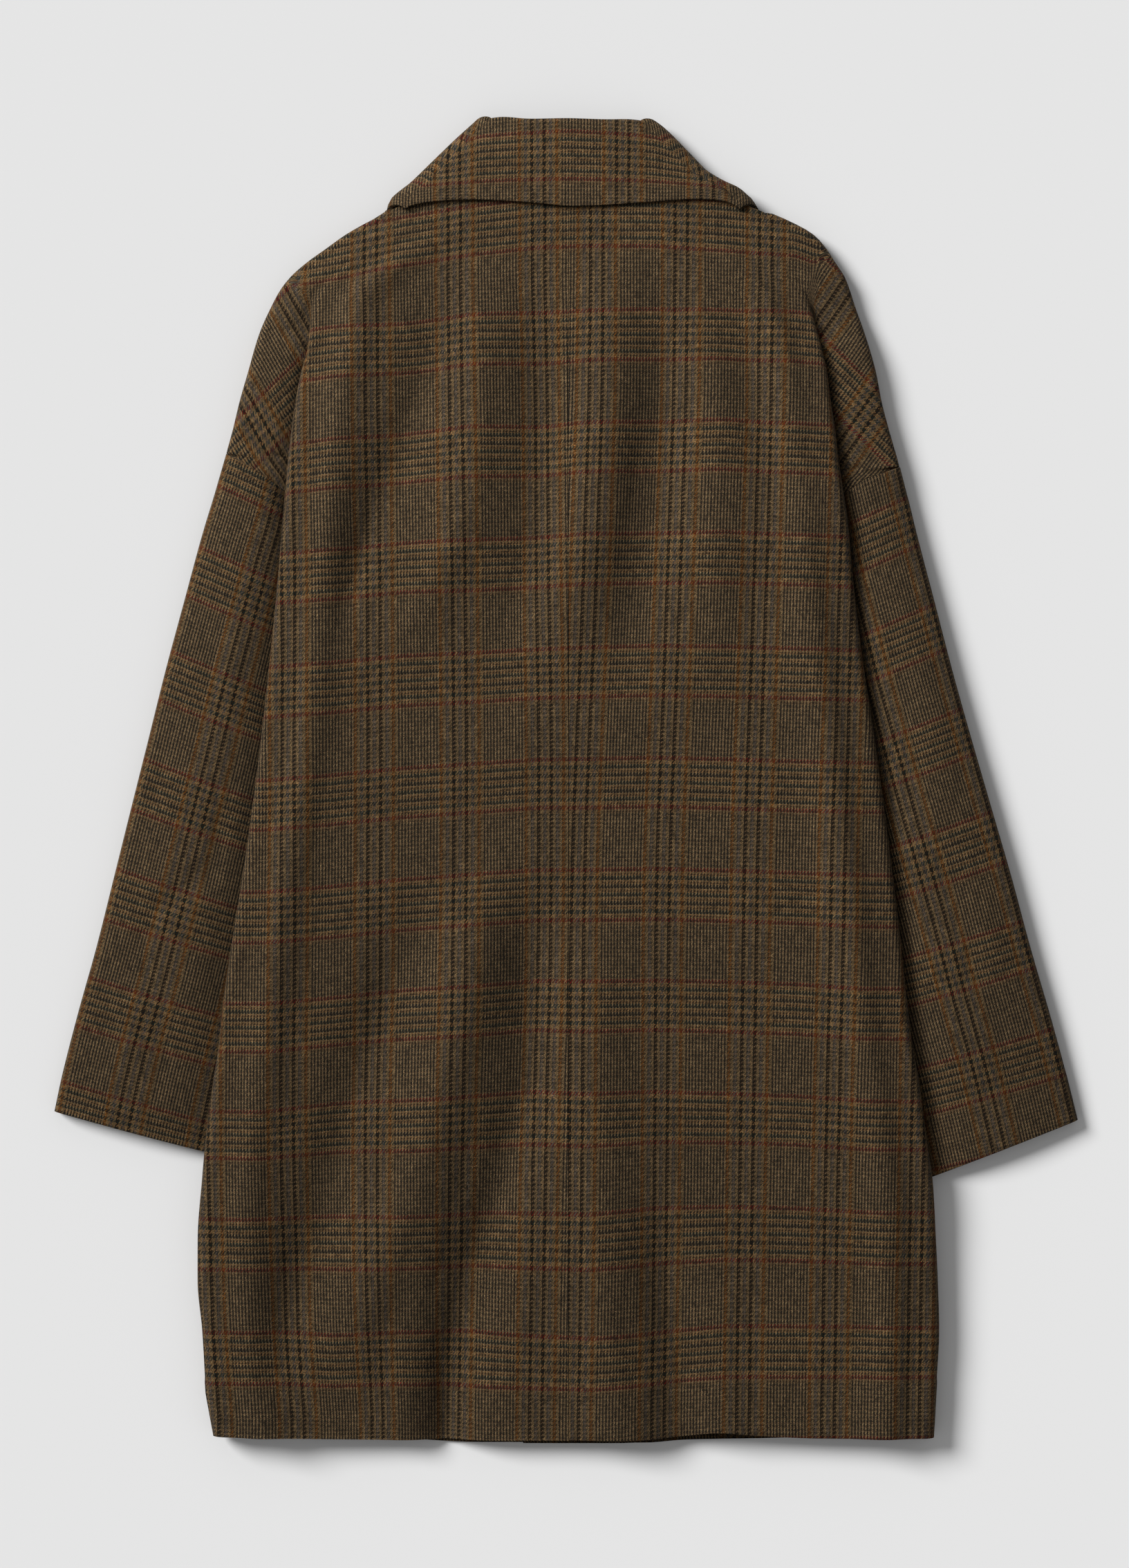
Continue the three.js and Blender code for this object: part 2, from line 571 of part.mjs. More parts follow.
// Points round a ring: along the table to the inner edge, up, back over the top and down.
// across is measured from the ring's outer edge; fold is where the body's edge crosses it.
function ringPoints(width, top, fold) {
  const floor = SLEEVE_CLOTH / 2;
  const inner = (SLEEVE_TOP_HIDDEN - floor) / 2;
  const points = [];
  for (let j = 0; j < UNDER_POINTS; j += 1) {
    points.push({ across: mix(EDGE_ROLL - 1, width - inner, j / (UNDER_POINTS - 1)), z: floor });
  }
  for (let j = 1; j <= INNER_POINTS; j += 1) {
    const angle = (j / (INNER_POINTS + 1)) * HALF_TURN;
    points.push({ across: width - inner * (1 - Math.sin(angle)), z: floor + inner * (1 - Math.cos(angle)) });
  }
  for (let j = 0; j < OVER_POINTS; j += 1) {
    const across = mix(width - inner, EDGE_ROLL + 1, j / (OVER_POINTS - 1));
    const shown = 1 - smooth(fold * 0.7, fold - 2, across);
    points.push({ across, z: mix(SLEEVE_TOP_HIDDEN, top, shown) });
  }
  const outer = (top - floor) / 2;
  for (let j = 1; j <= OUTER_POINTS; j += 1) {
    const angle = (j / (OUTER_POINTS + 1)) * HALF_TURN;
    const across = EDGE_ROLL - Math.min(outer, EDGE_ROLL) * Math.sin(angle);
    points.push({ across, z: floor + outer * (1 + Math.cos(angle)) });
  }
  return points;
}

function sleeve(side) {
  const seam = ARMHOLE[side];
  const under = seam[seam.length - 1];
  const head = {
    outer: [seam[0].out, seam[0].y],
    inner: [under.out + ARMHOLE_CLEAR, under.y],
    top: ARMHOLE_TOP,
  };
  const grid = [head, ...sleeveRings(side)].map((ring) => {
    const run = [ring.inner[0] - ring.outer[0], ring.inner[1] - ring.outer[1]];
    const width = Math.hypot(...run);
    let fold = width / 2;
    for (let pass = 0; pass < 4; pass += 1) {
      const crossing = foldEdge(side, ring.outer[1] + (run[1] * fold) / width);
      fold = (width * (crossing - ring.outer[0])) / run[0];
    }
    return ringPoints(width, ring.top, fold).map((p) => {
      const across = SLEEVE_CLOTH / 2 + (p.across * (width - SLEEVE_CLOTH)) / width;
      const out = ring.outer[0] + (run[0] * across) / width;
      const onRing = ring.outer[1] + (run[1] * across) / width;
      const y = ring === head ? straight(seam, "out", "y", out) - SLEEVE_SEAM_GAP : onRing;
      return new THREE.Vector3(xAt(side, out), y, p.z);
    });
  });
  return wall(`sleeve_${side}`, grid, { thickness: () => SLEEVE_CLOTH, ring: true, colour: 0x4c473a });
}

// The points of the collar from the fall's edge over the roll and down the stand to the neck seam.
function collarSection() {
  const points = [];
  for (let i = 0; i <= FALL_STEPS; i += 1) points.push({ part: "fall", t: i / FALL_STEPS });
  for (let i = 1; i < COLLAR_ROLL_STEPS; i += 1) points.push({ part: "roll", t: i / COLLAR_ROLL_STEPS });
  for (let i = 0; i <= STAND_STEPS; i += 1) points.push({ part: "stand", t: i / STAND_STEPS });
  return points;
}

// How far up the crease a collar point lies, from the tip at 0 to the top at 1.
const creasePlace = (point) => (point.part === "fall" ? point.t : point.part === "roll" ? 1 : 1 - point.t);

// Place of a collar point on the top side: x, y, the line it turns about and its height over it.
function collarTop(side, point, s) {
  const c = COLLAR[side];
  const rollHalf = STAND_INSIDE / 2;
  const inset = rollHalf + COLLAR_CLOTH / 2;
  const runX = c.topX - c.tipX;
  const runY = c.topY - c.tipY;
  const length = Math.hypot(runX, runY);
  const inX = (-signOf(side) * Math.abs(runY)) / length;
  const inY = -Math.abs(runX) / length;
  const radius = mix(CREASE_RADIUS.tip, CREASE_RADIUS.top, creasePlace(point));
  const depth = radius + COLLAR_CLOTH / 2;
  const upCrease = (t) => [mix(c.tipX, c.topX, t) + inX * depth, mix(c.tipY, c.topY, t) + inY * depth];
  const axis = COLLAR_FLOOR + radius;
  const middleTop = COLLAR_TOP_Y - inset;
  const creaseTop = 1 - (inset - CREASE_EXTRA) / length;
  const bend = s ** COLLAR_BOW;
  if (point.part === "stand") {
    const top = upCrease(creaseTop);
    const neckX = mix(c.middleX, upCrease(COLLAR_NECK_PLACE)[0], s);
    const neckY = along(BACK_NECK, "out", "y", Math.abs(neckX - SEAM_X)) + NECK_GAP;
    const x = mix(mix(c.middleX, top[0], s), neckX, point.t);
    const y = mix(mix(middleTop, top[1], bend), neckY, point.t);
    return { x, y, high: radius - STAND_INSIDE, axis, lift: (1 - s) * MIDDLE_LIFT * (1 - point.t), inX, inY };
  }
  const angle = point.part === "roll" ? HALF_TURN * point.t : 0;
  const reach = rollHalf * Math.sin(angle);
  const crease = upCrease((point.part === "fall" ? point.t * creaseTop : creaseTop) + reach / length);
  const middleY = (point.part === "fall" ? mix(COLLAR_FALL_Y, middleTop, point.t) : middleTop) + reach;
  const bow = point.part === "fall" ? FALL_BOW * Math.sin(HALF_TURN * s) * (1 - point.t) : 0;
  return {
    x: mix(c.middleX, crease[0], s),
    y: mix(middleY, crease[1], bend) + bow,
    high: radius - rollHalf * (1 - Math.cos(angle)),
    axis,
    lift: (1 - s) * MIDDLE_LIFT * creasePlace(point),
    inX,
    inY,
  };
}

function collarColumn(side, stage, step) {
  const section = collarSection();
  if (stage === "top") {
    const s = step / COLLAR_TOP_STEPS;
    return section.map((point) => {
      const p = collarTop(side, point, s);
      return new THREE.Vector3(p.x, p.y, p.axis + p.high + p.lift);
    });
  }
  const edge = section.map((point) => collarTop(side, point, 1));
  const angle = stage === "turn" ? (HALF_TURN * step) / COLLAR_TURN_STEPS : HALF_TURN;
  const turned = edge.map((p) => {
    const outward = p.high * Math.sin(angle);
    return new THREE.Vector3(p.x - p.inX * outward, p.y - p.inY * outward, p.axis + p.high * Math.cos(angle));
  });
  if (stage === "turn") return turned;
  const t = step / COLLAR_LEAF_STEPS;
  return section.map((point, k) => {
    const from = LEAF_END.fall;
    const to = point.part === "stand" ? LEAF_END.neck : LEAF_END.top;
    const share = point.part === "fall" ? point.t : point.part === "roll" ? 1 : point.t;
    const first = point.part === "stand" ? LEAF_END.top : from;
    const end = [mix(first.x, to.x, share), mix(first.y, to.y, share)];
    const start = turned[k];
    return new THREE.Vector3(mix(start.x, xAt(side, end[0]), t), mix(start.y, end[1], t), start.z);
  });
}

function collar() {
  const columns = [];
  for (let k = COLLAR_LEAF_STEPS; k >= 1; k -= 1) columns.push(collarColumn("left", "leaf", k));
  for (let k = COLLAR_TURN_STEPS; k >= 1; k -= 1) columns.push(collarColumn("left", "turn", k));
  for (let k = COLLAR_TOP_STEPS; k >= 1; k -= 1) columns.push(collarColumn("left", "top", k));
  for (let k = 1; k <= COLLAR_TOP_STEPS; k += 1) columns.push(collarColumn("right", "top", k));
  for (let k = 1; k <= COLLAR_TURN_STEPS; k += 1) columns.push(collarColumn("right", "turn", k));
  for (let k = 1; k <= COLLAR_LEAF_STEPS; k += 1) columns.push(collarColumn("right", "leaf", k));
  return wall("collar", columns, { thickness: () => COLLAR_CLOTH, colour: 0x4f4a3c });
}

const coat = new THREE.Group();
coat.name = "coat";
for (const side of ["left", "right"]) {
  coat.add(backPanel(side));
  coat.add(frontPanel(side));
  coat.add(sleeve(side));
}
coat.add(collar());

export default coat;
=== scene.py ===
"""A wool coat with a woven check, laid face down and flat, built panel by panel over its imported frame.

Sizes in the tables and helpers are millimetres: x across, y from hem to neck, z up from the table.
"""
import math
from itertools import accumulate, pairwise

import bmesh
import bpy
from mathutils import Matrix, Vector


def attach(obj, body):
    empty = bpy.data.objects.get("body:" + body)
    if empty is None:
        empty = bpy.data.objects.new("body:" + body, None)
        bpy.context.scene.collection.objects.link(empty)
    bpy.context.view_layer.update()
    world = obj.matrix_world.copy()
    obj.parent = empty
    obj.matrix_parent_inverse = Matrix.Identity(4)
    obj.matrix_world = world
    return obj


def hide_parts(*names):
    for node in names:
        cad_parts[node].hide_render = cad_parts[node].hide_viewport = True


bl_info = {
    "name": "Checked wool coat",
    "version": (1, 0, 0),
    "blender": (4, 5, 0),
    "location": "View3D > Sidebar > Coat",
    "description": "Builds a laid-out wool coat, panel by panel, over its packed frame",
    "category": "Add Mesh",
}

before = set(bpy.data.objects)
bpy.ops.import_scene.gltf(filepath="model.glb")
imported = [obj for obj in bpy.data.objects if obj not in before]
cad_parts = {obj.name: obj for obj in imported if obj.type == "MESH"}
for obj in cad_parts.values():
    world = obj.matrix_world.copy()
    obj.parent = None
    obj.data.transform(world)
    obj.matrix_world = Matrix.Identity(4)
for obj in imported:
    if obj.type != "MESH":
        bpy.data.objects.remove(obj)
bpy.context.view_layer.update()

MM = 0.001
HALF_TURN = math.pi
GAP = 0.3  # room between two pieces that lie on each other
SEAM_X = 1.7
FRONT_OVERLAP = 32
FRONT_STEP = (35, 50)  # where the right front climbs onto the left one, out from the seam
FRONT_NECK_ROWS_END = 345
HEM_EXTRA = 0.9  # how much thicker the cloth is where it is turned up
HEM_DEPTH = 38
HEM_FADE = 6
HEM_RISE = 70
HEM_Y = -466

# The photo and the camera: a photo pixel in mm, and places in its pixels across and down.
PIXEL = 0.49
PHOTO_HEIGHT = 2268
PHOTO_MIDDLE = (816.5, 1134)
ORIGIN_PIXEL = (819, 1128.5)
SENSOR = 36
FOCUS_HEIGHT = 0.016  # height of the cloth that shows at its true size, in metres
TOP_LIGHT_SIZE = 0.9
TOP_LIGHT_PLACE = (-0.55, 0.95, 0.85)
TOP_LIGHT_AIM = (-0.05, 0.2, 0)
FLOOR_HALF = 4
FLOOR_DROP = 0.0002  # keeps the floor just under the cloth, in metres

LEFT = 1  # column of the left side in the tables, and of the right side below
RIGHT = 2

# Edge where the body folds over the sleeve: y, and half width from the back seam at left and right.
FOLD_EDGE = [
    (-468, 251, 258.8), (-458, 255.2, 259.4), (-430, 257.6, 260.9), (-390, 260, 262.9),
    (-355, 263.2, 261.9), (-325, 263, 260.4), (-284, 259.9, 258), (-258, 257.6, 254.2),
    (-217, 252.4, 248.9), (-188, 248, 243.9), (-157, 244.8, 239.9), (-111, 238, 235),
    (-58, 229.6, 228.6), (0, 221.6, 221), (40, 216.8, 215.3), (84, 212, 208.6),
    (132, 207, 202.6), (183, 202.6, 197.7), (222, 199.2, 191.9), (248, 196.2, 188.8),
    (270, 193.2, 185.4), (288, 189.6, 183.3), (305, 185.2, 179.5), (325, 182.8, 174.4),
    (337, 181, 171), (345, 177, 167), (357, 166, 157), (372, 146, 142),
    (386, 124, 130), (398, 104, 114), (410, 88, 96),
]

# Outer edge of shoulder, cap and sleeve, in the same columns.
OUTER_EDGE = [
    (-242, 367.2, 362.9), (-216, 361.6, 355.8), (-167, 349.1, 342.3), (-118, 335.4, 328),
    (-69, 323.1, 314.8), (-20, 310.9, 300.6), (29, 298.6, 286.4), (78, 286.4, 272.7),
    (127, 273.2, 260), (176, 259.9, 247.2), (200, 252.6, 241.3), (229.6, 243.8, 233),
    (249, 238.4, 227.4), (269, 233.6, 222.2), (288, 228.1, 218.6), (318, 219.3, 210),
    (337, 210.9, 203.4), (347, 205.5, 200.2), (357, 197.6, 196.3), (366.8, 186.4, 189.9),
    (376.6, 172.7, 183.5), (386.4, 159, 174.6), (398.6, 136.9, 152), (403, 127, 141),
    (410, 116.5, 124),
]

# The body's section at its fold: y, height there, turn in degrees, lengths of roll, return and tuck,
# height of the cap beyond it, height of the back at its seam.
TOP, TURN, ROLL, UNDER, TUCK, CREST, MIDDLE = range(1, 8)
SIDE_FOLD = [
    (-470, 19, 180, 23, 20, 4, 9.6, 14), (-362, 20.6, 180, 23, 20, 4, 9.6, 15),
    (-325, 21.4, 180, 20, 20, 4, 9.6, 15.5), (-296, 22.2, 180, 17.5, 20, 4, 9.6, 16),
    (-60, 22.2, 180, 17.5, 24, 4, 9.6, 16.5), (85, 22.4, 180, 17.5, 26, 4, 9.6, 17),
    (140, 23.2, 180, 17.5, 26.8, 4, 9.6, 17), (172, 24.4, 180, 17.5, 26.4, 4, 9.6, 17),
    (183, 25, 180, 17.5, 26, 7, 9.6, 17), (232, 24.8, 180, 17, 24, 7, 10, 17),
    (262, 23.9, 180, 14.6, 17, 7, 10, 17), (288, 22.3, 178, 11, 9, 6.6, 10.2, 17),
    (305, 20.6, 150, 7.5, 3, 6, 10.6, 17), (325, 18.4, 110, 5.4, 1, 4.8, 11.2, 17),
    (337, 17.3, 50, 4.2, 1, 4.2, 11.8, 17), (345, 17, 22, 4, 1.5, 4, 12.4, 17),
    (357, 16.8, 10, 4, 2, 4, 13.2, 17), (386, 16.6, 6, 4, 2, 4, 13.6, 16.8),
    (425, 16.5, 4, 4, 2, 4, 12.8, 16.5),
]

# The armhole seam from the outer edge to the underarm: y and half width.
ARMHOLE = {
    LEFT: [(232, 243.2), (228.6, 236.5), (219.3, 220.2), (204, 200.2), (183, 167.8)],
    RIGHT: [(222.7, 235.4), (219.9, 228.4), (213.4, 210.2), (204, 196), (186, 163)],
}

# The hems: x, y of the back's hem, y of the fronts' hem, lift.
HEM_BACK, HEM_FRONT, HEM_LIFT = 1, 2, 3
HEMS = [
    (-262, -463.2, -463.5, 1), (-240, -464.8, -465, 0), (-134, -467, -467.4, 0),
    (-60, -467.8, -471, 0.5), (56, -467.4, -471.1, 0), (84, -465.4, -469, 1.5),
    (108, -462.6, -468.4, 4.5), (136, -464.6, -468, 2), (180, -466.4, -466.8, 0),
    (262, -466.2, -466, 0.5),
]

# Long folds of the back: upper end, lower end, x at four heights, rise, half width.
BACK_FOLDS = [
    (352, 95, (-63, -60, -76, -110), 2.4, 15),
    (352, 100, (31, 30, 20, 5), 2.6, 17),
    (345, 80, (97, 103, 105, 105), 2.2, 16),
    (352, 110, (-88, -104, -132, -163), -2.2, 14),
    (350, 90, (-20, -15, -22, -40), -2.4, 15),
    (350, 85, (71, 70, 59, 46), -2.2, 15),
    (340, 150, (121, 136, 153, 160), -2, 14),
    (-70, -400, (-59, -78, -107, -148), 3.2, 17),
    (-95, -440, (-106, -146, -178, -215), -2.6, 17),
    (-80, -466, (-22, -26, -60, -85), -3, 14),
    (-110, -466, (17, 20, 28, 38), 3, 20),
    (-300, -466, (66, 70, 78, 82), -2, 14),
]
FOLD_RISE = 2.7
FOLD_WIDTH = 1.35
SIDE_CREST = 5.8  # the low ridge inside the fold: its height, how far in it lies, its half width
SIDE_CREST_IN = 27
SIDE_CREST_WIDTH = 16
SIDE_CREST_END = (335, 400)  # y where it fades out

# Finer creases: rise, half width, then the points that the crease follows.
BACK_CREASES = [
    (-0.9, 6, (-139, 196), (-152, 140), (-166, 88)),
    (0.8, 7, (-126, 214), (-133, 160), (-150, 96)),
    (-0.7, 5, (-47, 300), (-52, 246), (-49, 205)),
    (0.7, 6, (4, 292), (9, 230), (2, 170)),
    (-0.8, 6, (52, 262), (47, 204), (38, 150)),
    (0.6, 5, (84, 250), (86, 196), (79, 141)),
    (-0.7, 6, (126, 178), (134, 122), (137, 60)),
    (0.6, 8, (-186, 60), (-190, 0), (-204, -70)),
    (-0.6, 7, (-168, 30), (-176, -40), (-196, -120)),
    (0.7, 7, (176, 20), (188, -60), (200, -130)),
    (-0.7, 6, (158, 0), (168, -80), (184, -170)),
    (-3.4, 11, (-58, -300), (-76, -350), (-84, -400), (-87, -466), (-87, -500)),
    (2.8, 12, (-86, -290), (-104, -350), (-112, -400), (-116, -466), (-116, -500)),
    (-1.6, 4.5, (-88, -386), (-90, -420), (-86, -466), (-86, -490)),
    (-1, 6, (-68, -250), (-82, -318), (-94, -372)),
    (0.9, 6, (-34, -300), (-30, -372), (-40, -440)),
    (-0.9, 6, (6, -330), (10, -396), (4, -452)),
    (-0.9, 7, (38, -344), (44, -402), (48, -462)),
    (0.8, 6, (108, -330), (112, -392), (110, -460)),
    (-0.8, 6, (132, -356), (136, -404), (134, -462)),
    (0.7, 8, (165, -290), (176, -370), (182, -448)),
    (-0.7, 6, (206, -250), (214, -330), (212, -404)),
    (-0.7, 7, (-226, -270), (-232, -344), (-228, -420)),
    (0.6, 6, (-206, -300), (-210, -360), (-206, -430)),
    (0.5, 9, (-24, 60), (-36, 6), (-38, -50)),
    (-0.5, 8, (64, 44), (58, -8), (64, -60)),
]
SLEEVE_CREASES = {
    LEFT: [
        (-1.8, 7, (-240, 4), (-246, -31), (-251, -64), (-290, -91), (-301, -119), (-290, -152)),
        (1.5, 11, (-262, -112), (-264, -134), (-261, -160)),
        (-1.2, 7, (-290, -152), (-285, -197), (-290, -226)),
        (1.1, 9, (-306, -150), (-312, -186), (-322, -222)),
        (-0.9, 8, (-246, 120), (-252, 70), (-262, 18)),
        (0.9, 9, (-228, 150), (-236, 96), (-242, 46)),
        (-0.8, 6, (-284, 30), (-292, -14), (-310, -54)),
    ],
    RIGHT: [
        (-1.3, 9, (226, 120), (236, 60), (246, 10), (252, -40)),
        (1.1, 10, (250, 90), (262, 36), (272, -20)),
        (-1.5, 8, (262, -30), (270, -78), (286, -120), (288, -168)),
        (1.2, 9, (290, -60), (300, -110), (312, -160)),
        (-1, 7, (300, -150), (308, -196), (322, -236)),
        (0.9, 8, (268, -170), (276, -216), (284, -262)),
    ],
}
FRONT_CREASES = [
    (0.6, 9, (-150, 220), (-158, 120), (-150, 20)),
    (0.5, 8, (-96, 160), (-92, 60), (-104, -60)),
    (0.7, 10, (-176, -120), (-166, -240), (-180, -380)),
    (0.5, 8, (-74, -200), (-82, -300), (-70, -420)),
    (0.6, 9, (140, 240), (150, 130), (146, 10)),
    (0.5, 8, (92, 120), (98, 0), (88, -110)),
    (0.7, 10, (178, -100), (170, -230), (186, -360)),
    (0.5, 8, (80, -210), (92, -330), (84, -440)),
]
COLLAR_CREASES = [
    (0.7, 9, (-70, 462), (-60, 440), (-66, 418)),
    (-0.5, 8, (-30, 466), (-24, 440), (-30, 412)),
    (0.5, 10, (22, 464), (30, 440), (24, 412)),
    (-0.5, 8, (64, 460), (70, 438), (78, 416)),
    (0.6, 7, (-108, 418), (-92, 424), (-76, 420)),
]

BACK_ROWS = (397.4, 386.4, 372, 357, 345, 337, 325, 308, 288, 262)
BODY_ROWS = (172, 140, 85, 25, -35, -95, -155, -215, -262, -300, -345, -395, -435)
RIM = 0.00035  # rounding of the cloth's cut edges, in metres
ROW_STEP = 4.4  # the most between two rows of the finished mesh
BACK_STEPS = 84
ROLL_STEPS = 14
RETURN_STEPS = 6
TUCK_STEPS = 8
TUCK_END = BACK_STEPS + ROLL_STEPS + RETURN_STEPS + TUCK_STEPS  # the last column of the tuck
END_STEPS = 20
DROP_STEPS = 6  # of them, the straight ones at the side
SEAM_STEPS = (0.15, 0.7, 1.4, 2.4, 4, 6.4)  # close columns beside the back seam
CAP_DROP_STEPS = 8  # points from the cap's brink down onto the front
CAP_ROUND_STEPS = CAP_DROP_STEPS - 2  # of them, the ones of its rounding
CAP_SWELL = 1.2
CAP_SWELL_END = (330, 380)
CAP_RISE = 5  # how far the cap climbs from the fold to its middle
CAP_RISE_END = (300, 345)
SHOULDER = (285, 335)  # y where the valley beside the fold closes to the flat shoulder
EDGE_ROLL = 5
LAST_TURN = math.radians(115)
LANDING = 4
NECK_SIDE_Y = 401.2

# Necks: half width and y.
BACK_NECK = [(0, 421.4), (50, 420.2), (80, 417.2), (105, 412.2), (122, 406), (133, NECK_SIDE_Y)]
NECK_REACH = {LEFT: 1, RIGHT: 0.94}  # the right shoulder starts a little further out
NECK_GAP = 1.1
FRONT_NECK = {
    LEFT: [(6, 355.7 - NECK_GAP), (106.2 - NECK_GAP, 411.6 - NECK_GAP), (116, 399.2)],
    RIGHT: [(6, 355.7 - NECK_GAP), (110.8 - NECK_GAP, 409.9 - NECK_GAP), (123, 399.2)],
}

# The collar: x and y of the tip, x and y of the top corner, x of the middle.
COLLAR = {
    LEFT: (-125.6, 406, -64.5, 469, -1.7),
    RIGHT: (135, 406.6, 64.8, 468.9, 1.7),
}
COLLAR_FALL_Y = 406.3
COLLAR_SLANT = (0.08, 0.07)
# The crease stands out of its straight line: place up the crease and how far.
COLLAR_FLARE = {
    LEFT: [(0, 1), (0.07, 3.9), (0.16, 3), (0.25, 1.8), (0.49, 1), (0.73, 0.2), (0.97, -1.3)],
    RIGHT: [
        (0, 0.5), (0.08, 2.5), (0.155, 2.5), (0.266, -0.3), (0.37, -2.6), (0.46, -3.8), (0.68, -2.4),
        (0.9, -1.2), (1, -2),
    ],
}
COLLAR_TOP_Y = 468.9
CORNER_RISE = {LEFT: 1.9, RIGHT: 1.1}  # small bulges of the roll inside its corners
CORNER_PLACE = 0.84
CORNER_WIDTH = 0.24
COLLAR_NECK_PLACE = 0.22
COLLAR_FLOOR = 1.2
CREASE_RADIUS = (9.5, 6.6)
STAND_INSIDE = 3.4
COLLAR_BOW = 1.6
CREASE_EXTRA = 1.5
FALL_BOW = {LEFT: (5.5, 1.6), RIGHT: (6.5, 3)}
MIDDLE_LIFT = 6
FALL_STEPS = 26
COLLAR_ROLL_STEPS = 10
STAND_STEPS = 10
COLLAR_TOP_STEPS = 44
COLLAR_TURN_STEPS = 14
COLLAR_LEAF_STEPS = 24
LEAF_FALL = (36, 327)
LEAF_TOP = (10, 372)
LEAF_NECK = (6, 355.7)
LEAF_LIFT = 2.8
LEAF_EDGE_Y = 322

# Sleeve rings: y, how far the hidden edge lies inside the fold, height.
RING_INNER, RING_TOP = 1, 2
SLEEVE_RINGS = [
    (-215, 25, 12.5), (-185, 26, 13.6), (-150, 27, 14.4), (-110, 28, 15), (-60, 29, 15.6),
    (0, 30, 16), (60, 31, 16), (120, 31.5, 15.8), (170, 32, 15.4), (205, 33, 15.2),
]
CUFF = {
    LEFT: ((366.3, -234.6), (234, -270.4), 11),
    RIGHT: ((362.8, -241), (232, -292), 11),
}
ARMHOLE_TOP = 16.5
ARMHOLE_CLEAR = 2.2
UNDER_POINTS = 26
INNER_POINTS = 9
OVER_POINTS = 44
OUTER_POINTS = 11
SLEEVE_TOP_HIDDEN = 5.6
VALLEY_HIDDEN = 0.05  # share of the width under the fold where the cloth starts to climb
VALLEY_BEND = 5.5  # how steeply it climbs beside the fold
SLEEVE_SWELL = 3
SLEEVE_SEAM_GAP = 0.15
RING_SINK = 1.5  # how far the top of a ring lies under its stated height before it swells

# The check. A repeat is 108 threads each way: a bold block of bars four threads wide, then a fine one.
REPEAT = 108
BAR = 4
FINE_START = 56
TWILL = 4  # threads in a repeat of the twill, two over and two under
ABOVE_ZERO = TWILL * 4000  # added to thread numbers that can be negative
# mean float height, so that the painted shade between floats keeps the cloth's mean colour
FLOAT_MEAN = 0.51
WARP_THROUGH = 0.24  # how much of the warp shows through the weft that lies over it
MOTTLE = 1.6  # lighter and darker spots a few threads wide
STREAK_RATE = 0.25  # streaks of the spun fibre along a thread
STREAK_APART = 3.7  # keeps the streaks of two neighbouring threads apart
WARP_PITCH = 0.554
WEFT_PITCH = 0.731
WARP_BARS = ("rust", "light", "blue", "light", "black", "light", "blue", "light", "black", "light",
             "blue", "light", "rust", "light")
WEFT_BARS = ("red", "ochre", "green", "ochre", "navy", "ochre", "green", "ochre", "navy", "ochre",
             "green", "ochre", "red", "light")

# Weft threads down the back at its seam: y and thread.
BACK_WEFT = [
    (-456.4, 1165), (-431, 1130), (-394.7, 1082), (-345.7, 1022), (-306.5, 974), (-258, 914),
    (-221.2, 866), (-177.1, 806), (-141.9, 758), (-98.7, 698), (-63, 650), (-18.9, 590),
    (15.4, 542), (59.5, 482), (94.3, 434), (138.9, 374), (174.2, 326), (218.3, 266),
    (253.1, 218), (297.7, 158), (333.4, 110), (379, 50), (414.3, 2),
]
# How far a weft line droops beside the seam: first the columns' x, then y at the seam and the droops.
DROOP_X = (-215, -166, -117, -68, -19, 15, 64, 113, 162, 211, 255)
WEFT_DROOP = [
    (-456.4, -4.4, -2.9, -3.4, 0, 0, 0, -4.4, -8.8, -8.8, -9.8, -9.8),
    (-394.7, -4.4, -2, -4.4, -3.9, -1, 0, -2.9, -8.3, -8.3, -8.3, -7.8),
    (-306.5, 3.4, 2.5, 2, 0.5, 0, 0, -3.9, -4.9, -3.9, -1.5, -1),
    (-221.2, 12.7, 7.8, 5.4, 2, -0.5, 0, -1, 0.5, 2, 4.9, 5.9),
    (-141.9, 15.7, 11.8, 6.9, 3.4, 0, 0, -0.5, 0.5, 2, 4.9, 5.4),
    (-18.9, 15.7, 11.8, 6.9, 3.4, 0, 0, -1, 0.5, 2, 2.9, 3.9),
    (138.9, 13.7, 10.3, 5.4, 3.9, 1.5, -0.5, -1.5, -1.5, 0, 2, 2.9),
    (253.1, 17.6, 11.8, 7.8, 2.5, 2, -0.5, -1.5, -2.5, 0.5, 2.9, 3.9),
    (333.4, 18.6, 12.2, 9.8, 3.4, 1.5, 0.5, -1, 0, 1.5, 6.9, 11.8),
    (379, 32.3, 24.5, 14.2, 6.4, 1, 0, 0, 3.9, 6.9, 24.5, 32.3),
    (414.3, 32.3, 24.5, 15.2, 7.3, 1.5, 0, 1, 2.9, 7.8, 21.6, 29.4),
]
# How far the warp has slipped towards the seam: y, near the seam, and far from it.
WARP_SLIP = {
    LEFT: [
        (-451.5, -3.4, 7.8), (-378, -2.4, 2.9), (-231, 0.4, 0), (-113, 3, 1), (14, 3.2, 1.5),
        (122, 2, 1.5), (279, 0.3, -0.5), (357, -1.3, -0.5),
    ],
    RIGHT: [
        (-451.5, 17.1, 15.7), (-329, 15.2, 14), (-202, 14.2, 11.5), (-113, 13.7, 9.5),
        (-54.6, 12.7, 8.8), (63, 8.3, 5.6), (122, 5.9, 4), (230, 2, 1), (279, 0.5, 0), (357, 0, 0),
    ],
}
SLIP_NEAR, SLIP_FAR = 45, 190
WEFT_START = 0.8
WARP_AT_SEAM = {LEFT: 62, RIGHT: -10}
FRONT_WARP_START = 31
